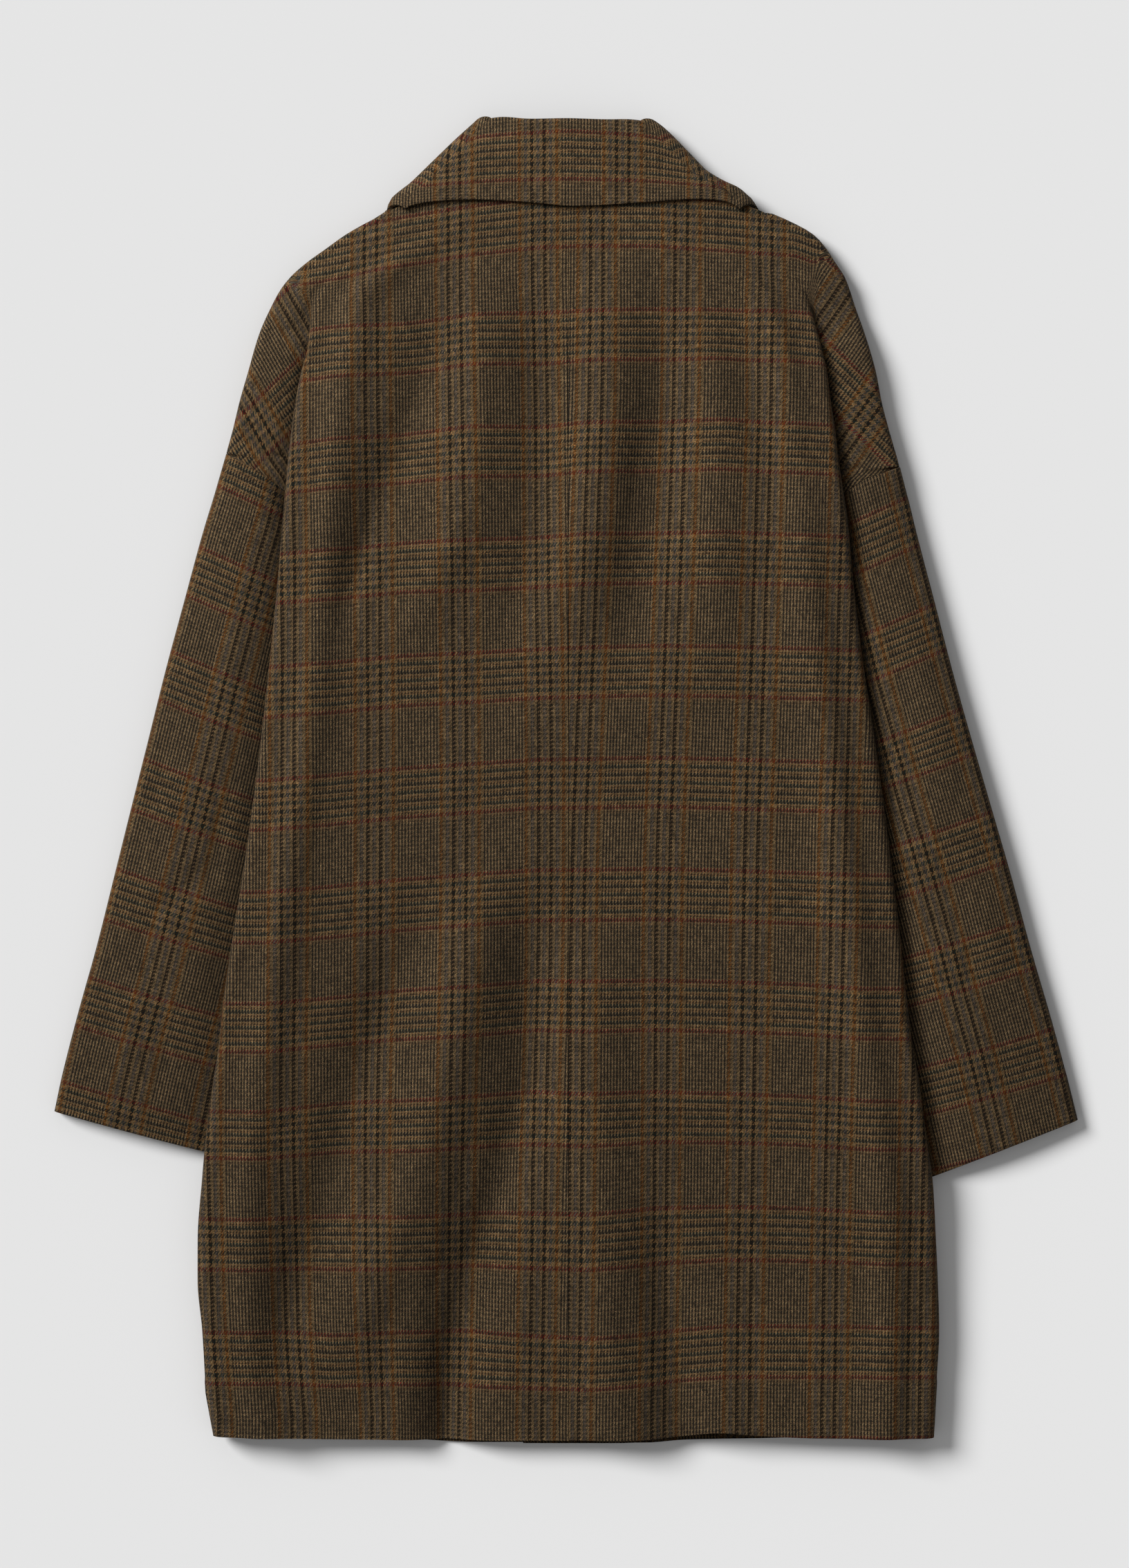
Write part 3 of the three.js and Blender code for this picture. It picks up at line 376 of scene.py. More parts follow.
# The cap beyond the fold is cloth on the bias: warp and weft threads as start, per mm of x, per mm of y.
CAP_WARP = {LEFT: (342.3, -1.586, -0.875), RIGHT: (413.5, 1.436, -0.969)}
CAP_WEFT = {LEFT: (625.7, 1.055, -1.055), RIGHT: (634.5, -1.055, -1.055)}
# Above the fold the back runs on to the shoulder and turns to the bias here: y and half width.
BIAS_EDGE = {
    LEFT: [(325, 183), (337, 182), (345, 188), (352, 194), (356, 198), (362, 206)],
    RIGHT: [(325, 174), (337, 172), (345, 173), (357, 175), (369, 178), (376, 183), (384, 192)],
}
BIAS_BAND = 4
CAP_START = (184, 200)  # y where the cap's own threads begin, and below where the fold ends
FOLD_END = (318, 334)
# Weft threads down the sleeves' outer edges: y and thread.
SLEEVE_WEFT = {
    LEFT: [
        (-213.4, 650), (-173.7, 590), (-139.4, 542), (-98.2, 482), (-62.5, 434), (-20.3, 374),
        (15.4, 326), (57.6, 266), (91.9, 218), (131.6, 158), (165.9, 110), (209.5, 50),
    ],
    RIGHT: [
        (-208.5, 590), (-176.2, 542), (-132.5, 482), (-99.7, 434), (-57.6, 374), (-21.8, 326),
        (19.4, 266), (51.2, 218), (93.3, 158), (125.2, 110), (167.3, 50),
    ],
}
SLEEVE_WARP_START = {LEFT: 40, RIGHT: 30}
# The sleeves' weft lines fall towards the body: their slopes at the cuff and the armhole, and those y.
SLEEVE_WEFT_SLOPE = (0.27, 0.42)
SLEEVE_WEFT_Y = (-240, 230)
# The collar's lower red weft line: distance from the middle and y, and the room 48 threads take there.
COLLAR_LINE = [
    (0, 425.6), (36, 424.8), (58.5, 423.9), (81.6, 422.2), (99.2, 420.7), (112, 418.5),
    (120.3, 416.3), (126, 413.5),
]
COLLAR_ROOM = [(0, 33.8), (58, 32), (82, 26.7), (126, 19)]
COLLAR_ROOM_THREADS = 48
COLLAR_WEFT_START = 50
COLLAR_WARP_START = 62
COLLAR_OUT = 126  # the last distance in the two tables

# Where a piece lies on the map that its material is baked to: its over side on the left half, its
# under side on the right half.
BAKE_RIM = 0.002
BAKE_WIDTH = 0.494
BAKE_HEIGHT = 0.996


def smooth(low, high, at):
    t = min(1.0, max(0.0, (at - low) / (high - low)))
    return t * t * (3 - 2 * t)


def mix(a, b, t):
    return a + (b - a) * t


def hump(away, width):
    return math.exp(-((away / width) ** 2))


def curve(table, column, at):
    """Reads a column of a table at a place, on a smooth curve with no overshoot."""
    last = len(table) - 1
    if at <= table[0][0]:
        return table[0][column]
    if at >= table[last][0]:
        return table[last][column]
    k = 0
    while table[k + 1][0] < at:
        k += 1

    def slope(i):
        return (table[i + 1][column] - table[i][column]) / (table[i + 1][0] - table[i][0])

    def tangent(i):
        if i == 0:
            return slope(0)
        if i == last:
            return slope(last - 1)
        before, after = slope(i - 1), slope(i)
        return 0 if before * after <= 0 else 2 * before * after / (before + after)

    step = table[k + 1][0] - table[k][0]
    t = (at - table[k][0]) / step
    start = table[k][column] * (1 + 2 * t) * (1 - t) ** 2 + tangent(k) * step * t * (1 - t) ** 2
    end = table[k + 1][column] * t * t * (3 - 2 * t) - tangent(k + 1) * step * t * t * (1 - t)
    return start + end


def straight(table, column, at, beyond=False):
    """Reads a column of a table, straight between its rows and, where asked, beyond its ends."""
    if not beyond and at <= table[0][0]:
        return table[0][column]
    if not beyond and at >= table[-1][0]:
        return table[-1][column]
    k = 0
    while k < len(table) - 2 and table[k + 1][0] < at:
        k += 1
    t = (at - table[k][0]) / (table[k + 1][0] - table[k][0])
    return mix(table[k][column], table[k + 1][column], t)


def sign_of(side):
    return -1 if side == LEFT else 1


def x_at(side, out):
    return SEAM_X + sign_of(side) * out


def creases_at(creases, x, y, strength):
    """Height that the listed creases add at a place."""
    z = 0.0
    for rise, width, *points in creases:
        reach = width * 2.2
        nearest = None
        total = len(points) - 1
        for k in range(total):
            ax, ay = points[k]
            bx, by = points[k + 1]
            if x < min(ax, bx) - reach or x > max(ax, bx) + reach:
                continue
            if y < min(ay, by) - reach or y > max(ay, by) + reach:
                continue
            run = (bx - ax) ** 2 + (by - ay) ** 2
            t = min(1.0, max(0.0, ((x - ax) * (bx - ax) + (y - ay) * (by - ay)) / run))
            away = math.hypot(x - mix(ax, bx, t), y - mix(ay, by, t))
            if nearest is None or away < nearest[0]:
                nearest = (away, (k + t) / total)
        if nearest and nearest[0] < reach:
            ends = math.sin(HALF_TURN * min(0.999, max(0.02, nearest[1]))) ** 0.6
            z += rise * ends * hump(nearest[0], width)
    return z * strength


def folds_at(x, y):
    z = 0.0
    for upper, lower, line_x, rise, width in BACK_FOLDS:
        place = min(1.0, max(0.0, (upper - y) / (upper - lower))) * 3
        k = min(2, int(place))
        line = mix(line_x[k], line_x[k + 1], place - k)
        open_end = 1 if lower <= HEM_Y else smooth(lower - 60, lower + 90, y)
        below_neck = 1 - smooth(upper - 80, upper + 40, y)
        z += FOLD_RISE * rise * open_end * below_neck * hump(x - line, width * FOLD_WIDTH)
    return z


def back_neck(side, out):
    return curve(BACK_NECK, 1, out * NECK_REACH[side])


def front_lift(y):
    return LEAF_LIFT * smooth(LEAF_EDGE_Y - 26, LEAF_EDGE_Y - 4, y)


def back_height(side, out, y, edge, top, strength):
    """Height of the back's middle surface between its seam and its fold."""
    x = x_at(side, out)
    rise = smooth(0.45, 1, out / edge)
    ridge = hump(edge - SIDE_CREST_IN - out, SIDE_CREST_WIDTH)
    roll = SIDE_CREST * (1 - smooth(*SIDE_CREST_END, y)) * ridge
    free = 1 - smooth(edge - 26, edge, out)
    hem = curve(HEMS, HEM_LIFT, x) * (1 - smooth(HEM_Y, HEM_Y + HEM_RISE, y))
    fine = creases_at(BACK_CREASES, x, y, strength)
    return mix(curve(SIDE_FOLD, MIDDLE, y), top, rise) + (roll + folds_at(x, y) + hem + fine) * free


def bend(points, start_angle, end_angle, length, steps):
    """Adds points to a section along an arc or a straight line."""
    out, z = points[-1]
    for i in range(1, steps + 1):
        part = length * i / steps
        angle = start_angle + (end_angle - start_angle) * i / steps
        if abs(angle - start_angle) > 1e-6:
            radius = part / (angle - start_angle)
            run = radius * (math.sin(angle) - math.sin(start_angle))
            drop = radius * (math.cos(start_angle) - math.cos(angle))
        else:
            run = part * math.cos(start_angle)
            drop = part * math.sin(start_angle)
        points.append((out + run, z - drop))


def back_outs(edge):
    """Distances from the seam of the columns between the seam and the fold."""
    rest = BACK_STEPS + 1 - len(SEAM_STEPS)
    last = SEAM_STEPS[-1]
    return list(SEAM_STEPS) + [mix(last, edge, k / rest) for k in range(1, rest + 1)]


def back_section(side, y, zone, seam_out, wall, strength):
    """The section of a back at one height, from the seam over the fold to its outer end."""
    turn = math.radians(curve(SIDE_FOLD, TURN, y))
    roll = curve(SIDE_FOLD, ROLL, y)
    tuck = curve(SIDE_FOLD, TUCK, y)
    top = curve(SIDE_FOLD, TOP, y)
    crest = curve(SIDE_FOLD, CREST, y) + CAP_RISE * (1 - smooth(*CAP_RISE_END, y))
    roll_out = roll / turn * math.sin(min(turn, HALF_TURN / 2))
    edge = curve(FOLD_EDGE, side, y) - wall / 2 - roll_out
    points = [(out, back_height(side, out, y, edge, top, strength)) for out in back_outs(edge)]
    bend(points, 0, turn, roll, ROLL_STEPS)
    bend(points, turn, turn, curve(SIDE_FOLD, UNDER, y), RETURN_STEPS)
    last = {"side": LAST_TURN, "underarm": HALF_TURN / 2}.get(zone, 0)
    bend(points, turn, last, tuck, TUCK_STEPS)
    out, z = points[-1]
    if zone == "cap":
        add_cap_end(points, side, y, crest, wall, edge + roll_out)
    elif zone == "armhole":
        for i in range(1, END_STEPS + 1):
            place = mix(out, seam_out, i / END_STEPS)
            points.append((place, cap_height(side, place, y, out, z, edge + roll_out, crest)))
    elif zone == "underarm":
        bend(points, last, last, max(1.4, z - 5), END_STEPS)
    else:
        drop = LANDING * (1 + math.cos(last))
        bend(points, last, last, (z - wall / 2 - drop) / math.sin(last), DROP_STEPS)
        bend(points, last, HALF_TURN, LANDING * (HALF_TURN - last), END_STEPS - DROP_STEPS)
    return points


def beside_fold(reach, crest):
    """Height of the cap and the sleeve by how far they reach from the fold to the outer edge."""
    outward = min(1, max(0, (reach + VALLEY_HIDDEN) / (1 + VALLEY_HIDDEN)))
    return mix(SLEEVE_TOP_HIDDEN, crest, 1 - (1 - outward) ** VALLEY_BEND)


def cap_height(side, out, y, start_out, start_z, fold_out, crest):
    outer = curve(OUTER_EDGE, side, y)
    low = beside_fold((out - fold_out) / (outer - fold_out), crest)
    return mix(start_z, low, smooth(start_out, fold_out, out))


def add_cap_end(points, side, y, crest, wall, fold_out):
    """The cap beyond the fold: over the sleeve's head and down onto the front at the outer edge."""
    start_out, start_z = points[-1]
    outer = curve(OUTER_EDGE, side, y) - wall / 2
    round_off = min(EDGE_ROLL, (outer - start_out) * 0.4)
    flat = outer - round_off
    shoulder = smooth(*SHOULDER, y)
    steps = END_STEPS - CAP_DROP_STEPS
    for i in range(1, steps + 1):
        t = i / steps
        out = mix(start_out, flat, t)
        swell = CAP_SWELL * math.sin(HALF_TURN * t) * (1 - smooth(*CAP_SWELL_END, y))
        slope = mix(start_z, crest, smooth(0, 1, t)) + swell
        valley = cap_height(side, out, y, start_out, start_z, fold_out, crest)
        points.append((out, mix(valley, slope, shoulder)))
    for i in range(1, CAP_ROUND_STEPS + 1):
        angle = HALF_TURN / 2 * i / CAP_ROUND_STEPS
        z = crest - round_off * (1 - math.cos(angle))
        points.append((flat + round_off * math.sin(angle), z))
    foot = wall + GAP + front_lift(y)
    low = points[-1][1]
    points.append((outer, mix(low, foot, 0.5)))
    points.append((outer, foot))


def back_rows(side):
    """The main rows of a back: height, zone and where the armhole seam cuts it."""
    seam = ARMHOLE[side]
    rows = [(y, "cap", 0) for y in BACK_ROWS]
    rows.append(((262 + seam[0][0]) / 2, "cap", 0))
    rows.append((seam[0][0], "cap", 0))
    rows += [(y, "armhole", out) for y, out in seam[1:-1]]
    rows.append((seam[-1][0], "underarm", 0))
    rows += [(y, "side", 0) for y in BODY_ROWS]
    return rows


def blended(first, second, t):
    return [tuple(mix(p, q, t) for p, q in zip(a, b)) for a, b in zip(first, second)]


def back_grid(side, wall, strength):
    """Rows of points on the back's middle surface, from the neck to the hem."""
    def at(y, zone, out):
        return [(x_at(side, o), y, z) for o, z in back_section(side, y, zone, out, wall, strength)]

    rows = back_rows(side)
    neck = [(x_at(side, o), back_neck(side, o), z)
            for o, z in back_section(side, NECK_SIDE_Y, "cap", 0, wall, strength)]
    grid = []
    first = at(*rows[0])
    for k in range(6):
        grid.append(blended(neck, first, k / 6))
    for a, b in zip(rows, rows[1:]):
        count = max(1, math.ceil((a[0] - b[0]) / ROW_STEP))
        upper, lower = at(*a), at(*b)
        for k in range(count):
            t = k / count
            if a[1] == b[1] and a[1] != "underarm":
                grid.append(at(mix(a[0], b[0], t), a[1], mix(a[2], b[2], t)))
            else:
                grid.append(blended(upper, lower, t))
    last = at(*rows[-1])
    hem = [(x, curve(HEMS, HEM_BACK, x), z) for x, y, z in at(HEM_Y, "side", 0)]
    for k in range(9):
        grid.append(blended(last, hem, k / 8))
    return grid


def weft_at(x, y):
    """Weft thread of the back at a place, with the droop of the lines beside the seam."""
    at_seam = y
    for _ in range(3):
        k = 0
        while k < len(DROOP_X) - 2 and DROOP_X[k + 1] < x:
            k += 1
        t = min(1.0, max(0.0, (x - DROOP_X[k]) / (DROOP_X[k + 1] - DROOP_X[k])))
        near = straight(WEFT_DROOP, k + 1, at_seam)
        far = straight(WEFT_DROOP, k + 2, at_seam)
        at_seam = y + mix(near, far, t)
    return straight(BACK_WEFT, 1, at_seam, True) - WEFT_START


def warp_at(side, out, y):
    """Warp threads between the back seam and a place."""
    near, far = (curve(WARP_SLIP[side], column, y) for column in (1, 2))
    return (out + mix(near, far, smooth(SLIP_NEAR, SLIP_FAR, out))) / WARP_PITCH


def signed_warp(side, count):
    """Turns a count from the seam into a thread number that grows to the right on both sides."""
    return WARP_AT_SEAM[side] + sign_of(side) * count


def back_threads(side, grid):
    """Thread numbers for every point of a back."""
    edge_at = BACK_STEPS
    cap_warps, cap_wefts = CAP_WARP[side], CAP_WEFT[side]
    threads = []
    for row in grid:
        row_threads = []
        steps = (math.hypot(b[0] - a[0], b[2] - a[2]) for a, b in pairwise(row))
        length = list(accumulate(steps, initial=0.0))
        y_edge = row[edge_at][1]
        on_cap = smooth(*CAP_START, y_edge)
        folded = 1 - smooth(*FOLD_END, y_edge)
        brink = len(row) - 1 - CAP_DROP_STEPS
        for j, (x, y, z) in enumerate(row):
            if j > brink:
                fall = length[j] - length[brink] - abs(x - row[brink][0])
                x += sign_of(side) * fall * on_cap
            out = abs(x - SEAM_X)
            count = warp_at(side, out, y)
            if j > edge_at:
                round_fold = row_threads[edge_at][2] + (length[j] - length[edge_at]) / WARP_PITCH
                count = mix(count, round_fold, folded)
            weft = weft_at(x, y)
            bias = straight(BIAS_EDGE[side], 1, y)
            open_share = smooth(bias - BIAS_BAND, bias + BIAS_BAND, out)
            folded_share = smooth(length[edge_at], length[TUCK_END], length[j])
            share = on_cap * mix(open_share, folded_share, folded)
            cap_warp = cap_warps[0] + cap_warps[1] * x + cap_warps[2] * y
            cap_weft = cap_wefts[0] + cap_wefts[1] * x + cap_wefts[2] * y
            u = signed_warp(side, mix(count, cap_warp, share))
            row_threads.append((u, mix(weft, cap_weft, share), count))
        threads.append([(u, v) for u, v, count in row_threads])
    return threads


def front_grid(side, wall, strength):
    """Rows of points on a front's middle surface, from the neck seam to the hem."""
    def end_of(y, zone, out):
        section = back_section(side, y, zone, out, wall, 0)
        end = section[-1][0]
        return {"cap": end + wall / 2, "armhole": out, "underarm": end - 2}.get(zone, end - GAP)

    def row(outer, y_of):
        step_start, step_end = FRONT_STEP
        outs = [mix(outer, step_end + 3, k / 30) for k in range(31)]
        outs += [mix(step_end, step_start, k / 10) for k in range(11)]
        outs += [mix(step_start - 4, -FRONT_OVERLAP, k / 12) for k in range(13)]
        points = []
        for out in outs:
            x = x_at(side, out)
            y = y_of(out, x)
            over = 1 - smooth(step_start, step_end, out) if side == RIGHT else 0
            z = wall / 2 + over * (wall + GAP) + front_lift(y)
            points.append((x, y, z + max(0, creases_at(FRONT_CREASES, x, y, strength))))
        return points

    neck = FRONT_NECK[side]
    shoulder = neck[-1]

    def seam_y(out, x):
        return straight(neck, 1, out)

    rows = back_rows(side)
    stations = [(shoulder[0], seam_y)]
    for k, (y, zone, out) in enumerate(rows):
        ends = [(y, end_of(y, zone, out))]
        if k + 1 < len(rows):
            next_y, next_zone, next_out = rows[k + 1]
            next_end = end_of(next_y, next_zone, next_out)
            count = max(1, math.ceil((y - next_y) / (ROW_STEP * 2)))
            start = ends[0][1]
            shares = [t / count for t in range(count)]
            ends = [(mix(y, next_y, share), mix(start, next_end, share)) for share in shares]
        for at_y, outer in ends:
            down = (shoulder[1] - at_y) / (shoulder[1] - FRONT_NECK_ROWS_END)
            if down < 1:
                stations.append((outer, lambda o, x, d=down: mix(seam_y(o, x), FRONT_NECK_ROWS_END, d)))
            else:
                stations.append((outer, lambda o, x, at=at_y: at))
    grid = [row(outer, y_of) for outer, y_of in stations]
    hem = row(end_of(HEM_Y, "side", 0), lambda o, x: curve(HEMS, HEM_FRONT, x))
    last = grid.pop()
    grid += [blended(last, hem, k / 4) for k in range(5)]
    return grid


def front_threads(grid):
    def at(x, y):
        return FRONT_WARP_START - (x - SEAM_X) / WARP_PITCH, straight(BACK_WEFT, 1, y, True)

    return [[at(x, y) for x, y, z in row] for row in grid]


def ring_points(width, top, fold, wall):
    """Points round a sleeve ring from its hidden edge over the top, round and back along the table."""
    floor = wall / 2
    inner = (SLEEVE_TOP_HIDDEN - floor) / 2
    outer = (top - RING_SINK - floor) / 2
    under = []
    for j in range(UNDER_POINTS):
        under.append((mix(EDGE_ROLL - 1, width - inner, j / (UNDER_POINTS - 1)), floor))
    turn = []
    for j in range(1, INNER_POINTS + 1):
        angle = j / (INNER_POINTS + 1) * HALF_TURN
        turn.append((width - inner * (1 - math.sin(angle)), floor + inner * (1 - math.cos(angle))))
    over = []
    for j in range(OVER_POINTS):
        across = mix(width - inner, EDGE_ROLL + 1, j / (OVER_POINTS - 1))
        reach = 1 - across / fold
        swell = SLEEVE_SWELL * math.sin(HALF_TURN * reach) if reach > 0 else 0
        over.append((across, beside_fold(reach, top - RING_SINK) + swell))
    down = []
    for j in range(1, OUTER_POINTS + 1):
        angle = j / (OUTER_POINTS + 1) * HALF_TURN
        across = EDGE_ROLL - min(outer, EDGE_ROLL) * math.sin(angle)
        down.append((across, floor + outer * (1 + math.cos(angle))))
    half = INNER_POINTS // 2
    points = turn[half:] + over + down + under + turn[:half + 1]
    return points, len(turn[half:]) + OVER_POINTS + OUTER_POINTS // 2


def sleeve_grid(side, wall, strength):
    """Rings of points on the sleeve's middle surface, from the armhole to the cuff."""
    seam = ARMHOLE[side]
    seam_by_out = sorted((out, y) for y, out in seam)
    head_y, head_out = seam[0]
    under_y, under_out = seam[-1]
    cuff_outer, cuff_inner, cuff_top = CUFF[side]
    start_slope = (under_y - head_y) / (under_out - head_out)
    end_slope = (cuff_inner[1] - cuff_outer[1]) / (cuff_inner[0] - cuff_outer[0])

    def ring_at(y):
        outer = (curve(OUTER_EDGE, side, y), y)
        t = (head_y - y) / (head_y - cuff_outer[1])
        slope = mix(start_slope, end_slope, min(1, t * 1.6))
        inside = curve(SLEEVE_RINGS, RING_INNER, y)
        inner_y = y
        for _ in range(2):
            out = curve(FOLD_EDGE, side, inner_y) - inside
            inner_y = y + (out - outer[0]) * slope
        return outer, (out, inner_y), curve(SLEEVE_RINGS, RING_TOP, y)

    def placed(outer, inner, top, on_seam=False):
        run = (inner[0] - outer[0], inner[1] - outer[1])
        width = math.hypot(*run)
        fold = width / 2
        for _ in range(4):
            crossing = curve(FOLD_EDGE, side, outer[1] + run[1] * fold / width)
            fold = width * (crossing - outer[0]) / run[0]
        points, outer_index = ring_points(width, top, fold, wall)
        ring = []
        for k, (across, z) in enumerate(points):
            along_ring = wall / 2 + across * (width - wall) / width
            out = outer[0] + run[0] * along_ring / width
            y = outer[1] + run[1] * along_ring / width
            if on_seam:
                y = straight(seam_by_out, 1, out) - SLEEVE_SEAM_GAP
            x = x_at(side, out)
            if z > wall and 5 < across < fold - 4 and not on_seam:
                near_edge = smooth(5, 14, across) * (1 - smooth(fold - 16, fold - 4, across))
                z += creases_at(SLEEVE_CREASES[side], x, y, strength) * near_edge
            ring.append((x, y, z))
        return ring, outer_index

    head_inner = (under_out + ARMHOLE_CLEAR, under_y)
    head, outer_index = placed((head_out, head_y), head_inner, ARMHOLE_TOP, True)
    first_y, last_y = SLEEVE_RINGS[-1][0], SLEEVE_RINGS[0][0]
    count = math.ceil((first_y - last_y) / ROW_STEP)
    rings = [placed(*ring_at(mix(first_y, last_y, k / count)))[0] for k in range(count + 1)]
    cuff = placed(cuff_outer, cuff_inner, cuff_top)[0]
    grid = [blended(head, rings[0], k / 5) for k in range(5)]
    grid += rings[:-1]
    grid += [blended(rings[-1], cuff, k / 6) for k in range(7)]
    return grid, outer_index


def sleeve_threads(side, grid, outer_index):
    threads = []
    for row in grid:
        length = list(accumulate((math.dist(a, b) for a, b in pairwise(row)), initial=0.0))
        row_threads = []
        for j, (x, y, z) in enumerate(row):
            out = abs(x - SEAM_X)
            slope = mix(*SLEEVE_WEFT_SLOPE, smooth(*SLEEVE_WEFT_Y, y))
            outer_y = y + slope * (curve(OUTER_EDGE, side, y) - out)
            across = (length[outer_index] - length[j]) / WARP_PITCH
            u = SLEEVE_WARP_START[side] - sign_of(side) * across
            row_threads.append((u, straight(SLEEVE_WEFT[side], 1, outer_y, True)))
        threads.append(row_threads)
    return threads


def collar_section():
    """Parts of the collar's section: the fall from its edge, the roll, and the stand to the neck."""
    points = [("fall", i / FALL_STEPS) for i in range(FALL_STEPS + 1)]
    points += [("roll", i / COLLAR_ROLL_STEPS) for i in range(1, COLLAR_ROLL_STEPS)]
    points += [("stand", i / STAND_STEPS) for i in range(STAND_STEPS + 1)]
    return points


def collar_top(side, part, t, s, wall, slant=1):
    """A collar point on the top side: x, y, height over its axis, axis, lift and direction in."""
    tip_x, tip_y, top_x, top_y, middle_x = COLLAR[side]
    up = {"fall": t, "roll": 1, "stand": 1 - t}[part]
    roll_half = STAND_INSIDE / 2
    inset = roll_half + wall / 2
    run_x, run_y = top_x - tip_x, top_y - tip_y
    length = math.hypot(run_x, run_y)
    in_x = -sign_of(side) * abs(run_y) / length
    in_y = -abs(run_x) / length
    radius = mix(*CREASE_RADIUS, up)
    depth = radius + wall / 2

    def up_crease(place):
        inward = depth - curve(COLLAR_FLARE[side], 1, place)
        place += mix(*COLLAR_SLANT, up) * slant
        return mix(tip_x, top_x, place) + in_x * inward, mix(tip_y, top_y, place) + in_y * inward

    axis = COLLAR_FLOOR + radius
    middle_top = COLLAR_TOP_Y - inset
    crease_top = 1 - (inset - CREASE_EXTRA) / length
    bow = s ** COLLAR_BOW
    if part == "stand":
        corner = up_crease(crease_top)
        neck_x = mix(middle_x, up_crease(COLLAR_NECK_PLACE)[0], s)
        neck_y = back_neck(side, abs(neck_x - SEAM_X)) + NECK_GAP
        x = mix(mix(middle_x, corner[0], s), neck_x, t)
        y = mix(mix(middle_top, corner[1], bow), neck_y, t)
        return x, y, radius - STAND_INSIDE, axis, (1 - s) * MIDDLE_LIFT * (1 - t), in_x, in_y
    angle = HALF_TURN * t if part == "roll" else 0
    reach = roll_half * math.sin(angle)
    crease = up_crease((t * crease_top if part == "fall" else crease_top) + reach / length)
    middle_y = (mix(COLLAR_FALL_Y, middle_top, t) if part == "fall" else middle_top) + reach
    arch = 0
    if part == "fall":
        bow_rise, bow_place = FALL_BOW[side]
        arch = bow_rise * math.sin(HALF_TURN * min(1, s) ** bow_place) ** 0.5 * (1 - t)
    high = radius - roll_half * (1 - math.cos(angle))
    x = mix(middle_x, crease[0], s)
    bulge = CORNER_RISE[side] * hump(s - CORNER_PLACE, CORNER_WIDTH) * up
    y = mix(middle_y, crease[1], bow) + arch + bulge
    return x, y, high, axis, (1 - s) * MIDDLE_LIFT * up, in_x, in_y


def collar_column(side, stage, step, wall, strength):
    section = collar_section()
    if stage == "top":
        s = step / COLLAR_TOP_STEPS
        points = []
        for part, t in section:
            x, y, high, axis, lift, in_x, in_y = collar_top(side, part, t, s, wall)
            fine = creases_at(COLLAR_CREASES, x, y, strength) if part == "fall" else 0
            points.append((x, y, axis + high + lift + fine * (1 - smooth(0.8, 1, s))))
        return points
    angle = HALF_TURN * step / COLLAR_TURN_STEPS if stage == "turn" else HALF_TURN
    edge = [collar_top(side, part, t, 1, wall, math.cos(angle)) for part, t in section]
    turned = []
    for x, y, high, axis, lift, in_x, in_y in edge:
        outward = high * math.sin(angle)
        turned.append((x - in_x * outward, y - in_y * outward, axis + high * math.cos(angle)))
    if stage == "turn":
        return turned
    points = []
    for (part, t), (x, y, z) in zip(section, turned):
        if part == "stand":
            first, last = LEAF_TOP, LEAF_NECK
        else:
            first, last = LEAF_FALL, LEAF_TOP
        share = 1 if part == "roll" else t
        end_x = x_at(side, mix(first[0], last[0], share))
        end_y = mix(first[1], last[1], share)
        along = step / COLLAR_LEAF_STEPS
        points.append((mix(x, end_x, along), mix(y, end_y, along), z))
    return points


def collar_grid(wall, strength):
    """Columns of the collar from its left front end over the back to its right front end."""
    stages = [("leaf", COLLAR_LEAF_STEPS), ("turn", COLLAR_TURN_STEPS), ("top", COLLAR_TOP_STEPS)]
    grid = []
    for stage, count in stages:
        grid += [collar_column(LEFT, stage, k, wall, strength) for k in range(count, 0, -1)]
    for stage, count in reversed(stages):
        grid += [collar_column(RIGHT, stage, k, wall, strength) for k in range(1, count + 1)]
    return grid


def collar_threads(grid):
    """The check follows the fall as it shows; past the creases it keeps each line and counts on."""
    turned = COLLAR_LEAF_STEPS + COLLAR_TURN_STEPS
    last = len(grid) - 1 - turned
    section = collar_section()
    threads = []
    for i, row in enumerate(grid):
        inside = min(last, max(turned, i))
        shown = grid[inside]
        travel = 0.0
        step = 1 if i > inside else -1
        for k in range(inside, i, step):
            travel += math.dist(grid[k][8], grid[k + step][8])
        row_threads = []
        back_length = 0.0
        for j, (part, t) in enumerate(section):
            x, y, z = shown[j]
            out = min(COLLAR_OUT, abs(x))
            if part == "fall":
                lower = curve(COLLAR_LINE, 1, out)
                v = COLLAR_WEFT_START + (lower - y) * COLLAR_ROOM_THREADS / curve(COLLAR_ROOM, 1, out)
                top_v = v
            else:
                back_length += math.dist(shown[j], shown[j - 1])
                v = top_v - back_length / WEFT_PITCH
            u = x / WARP_PITCH + COLLAR_WARP_START + step * travel / WARP_PITCH
            row_threads.append((u, v))
        threads.append(row_threads)
    return threads


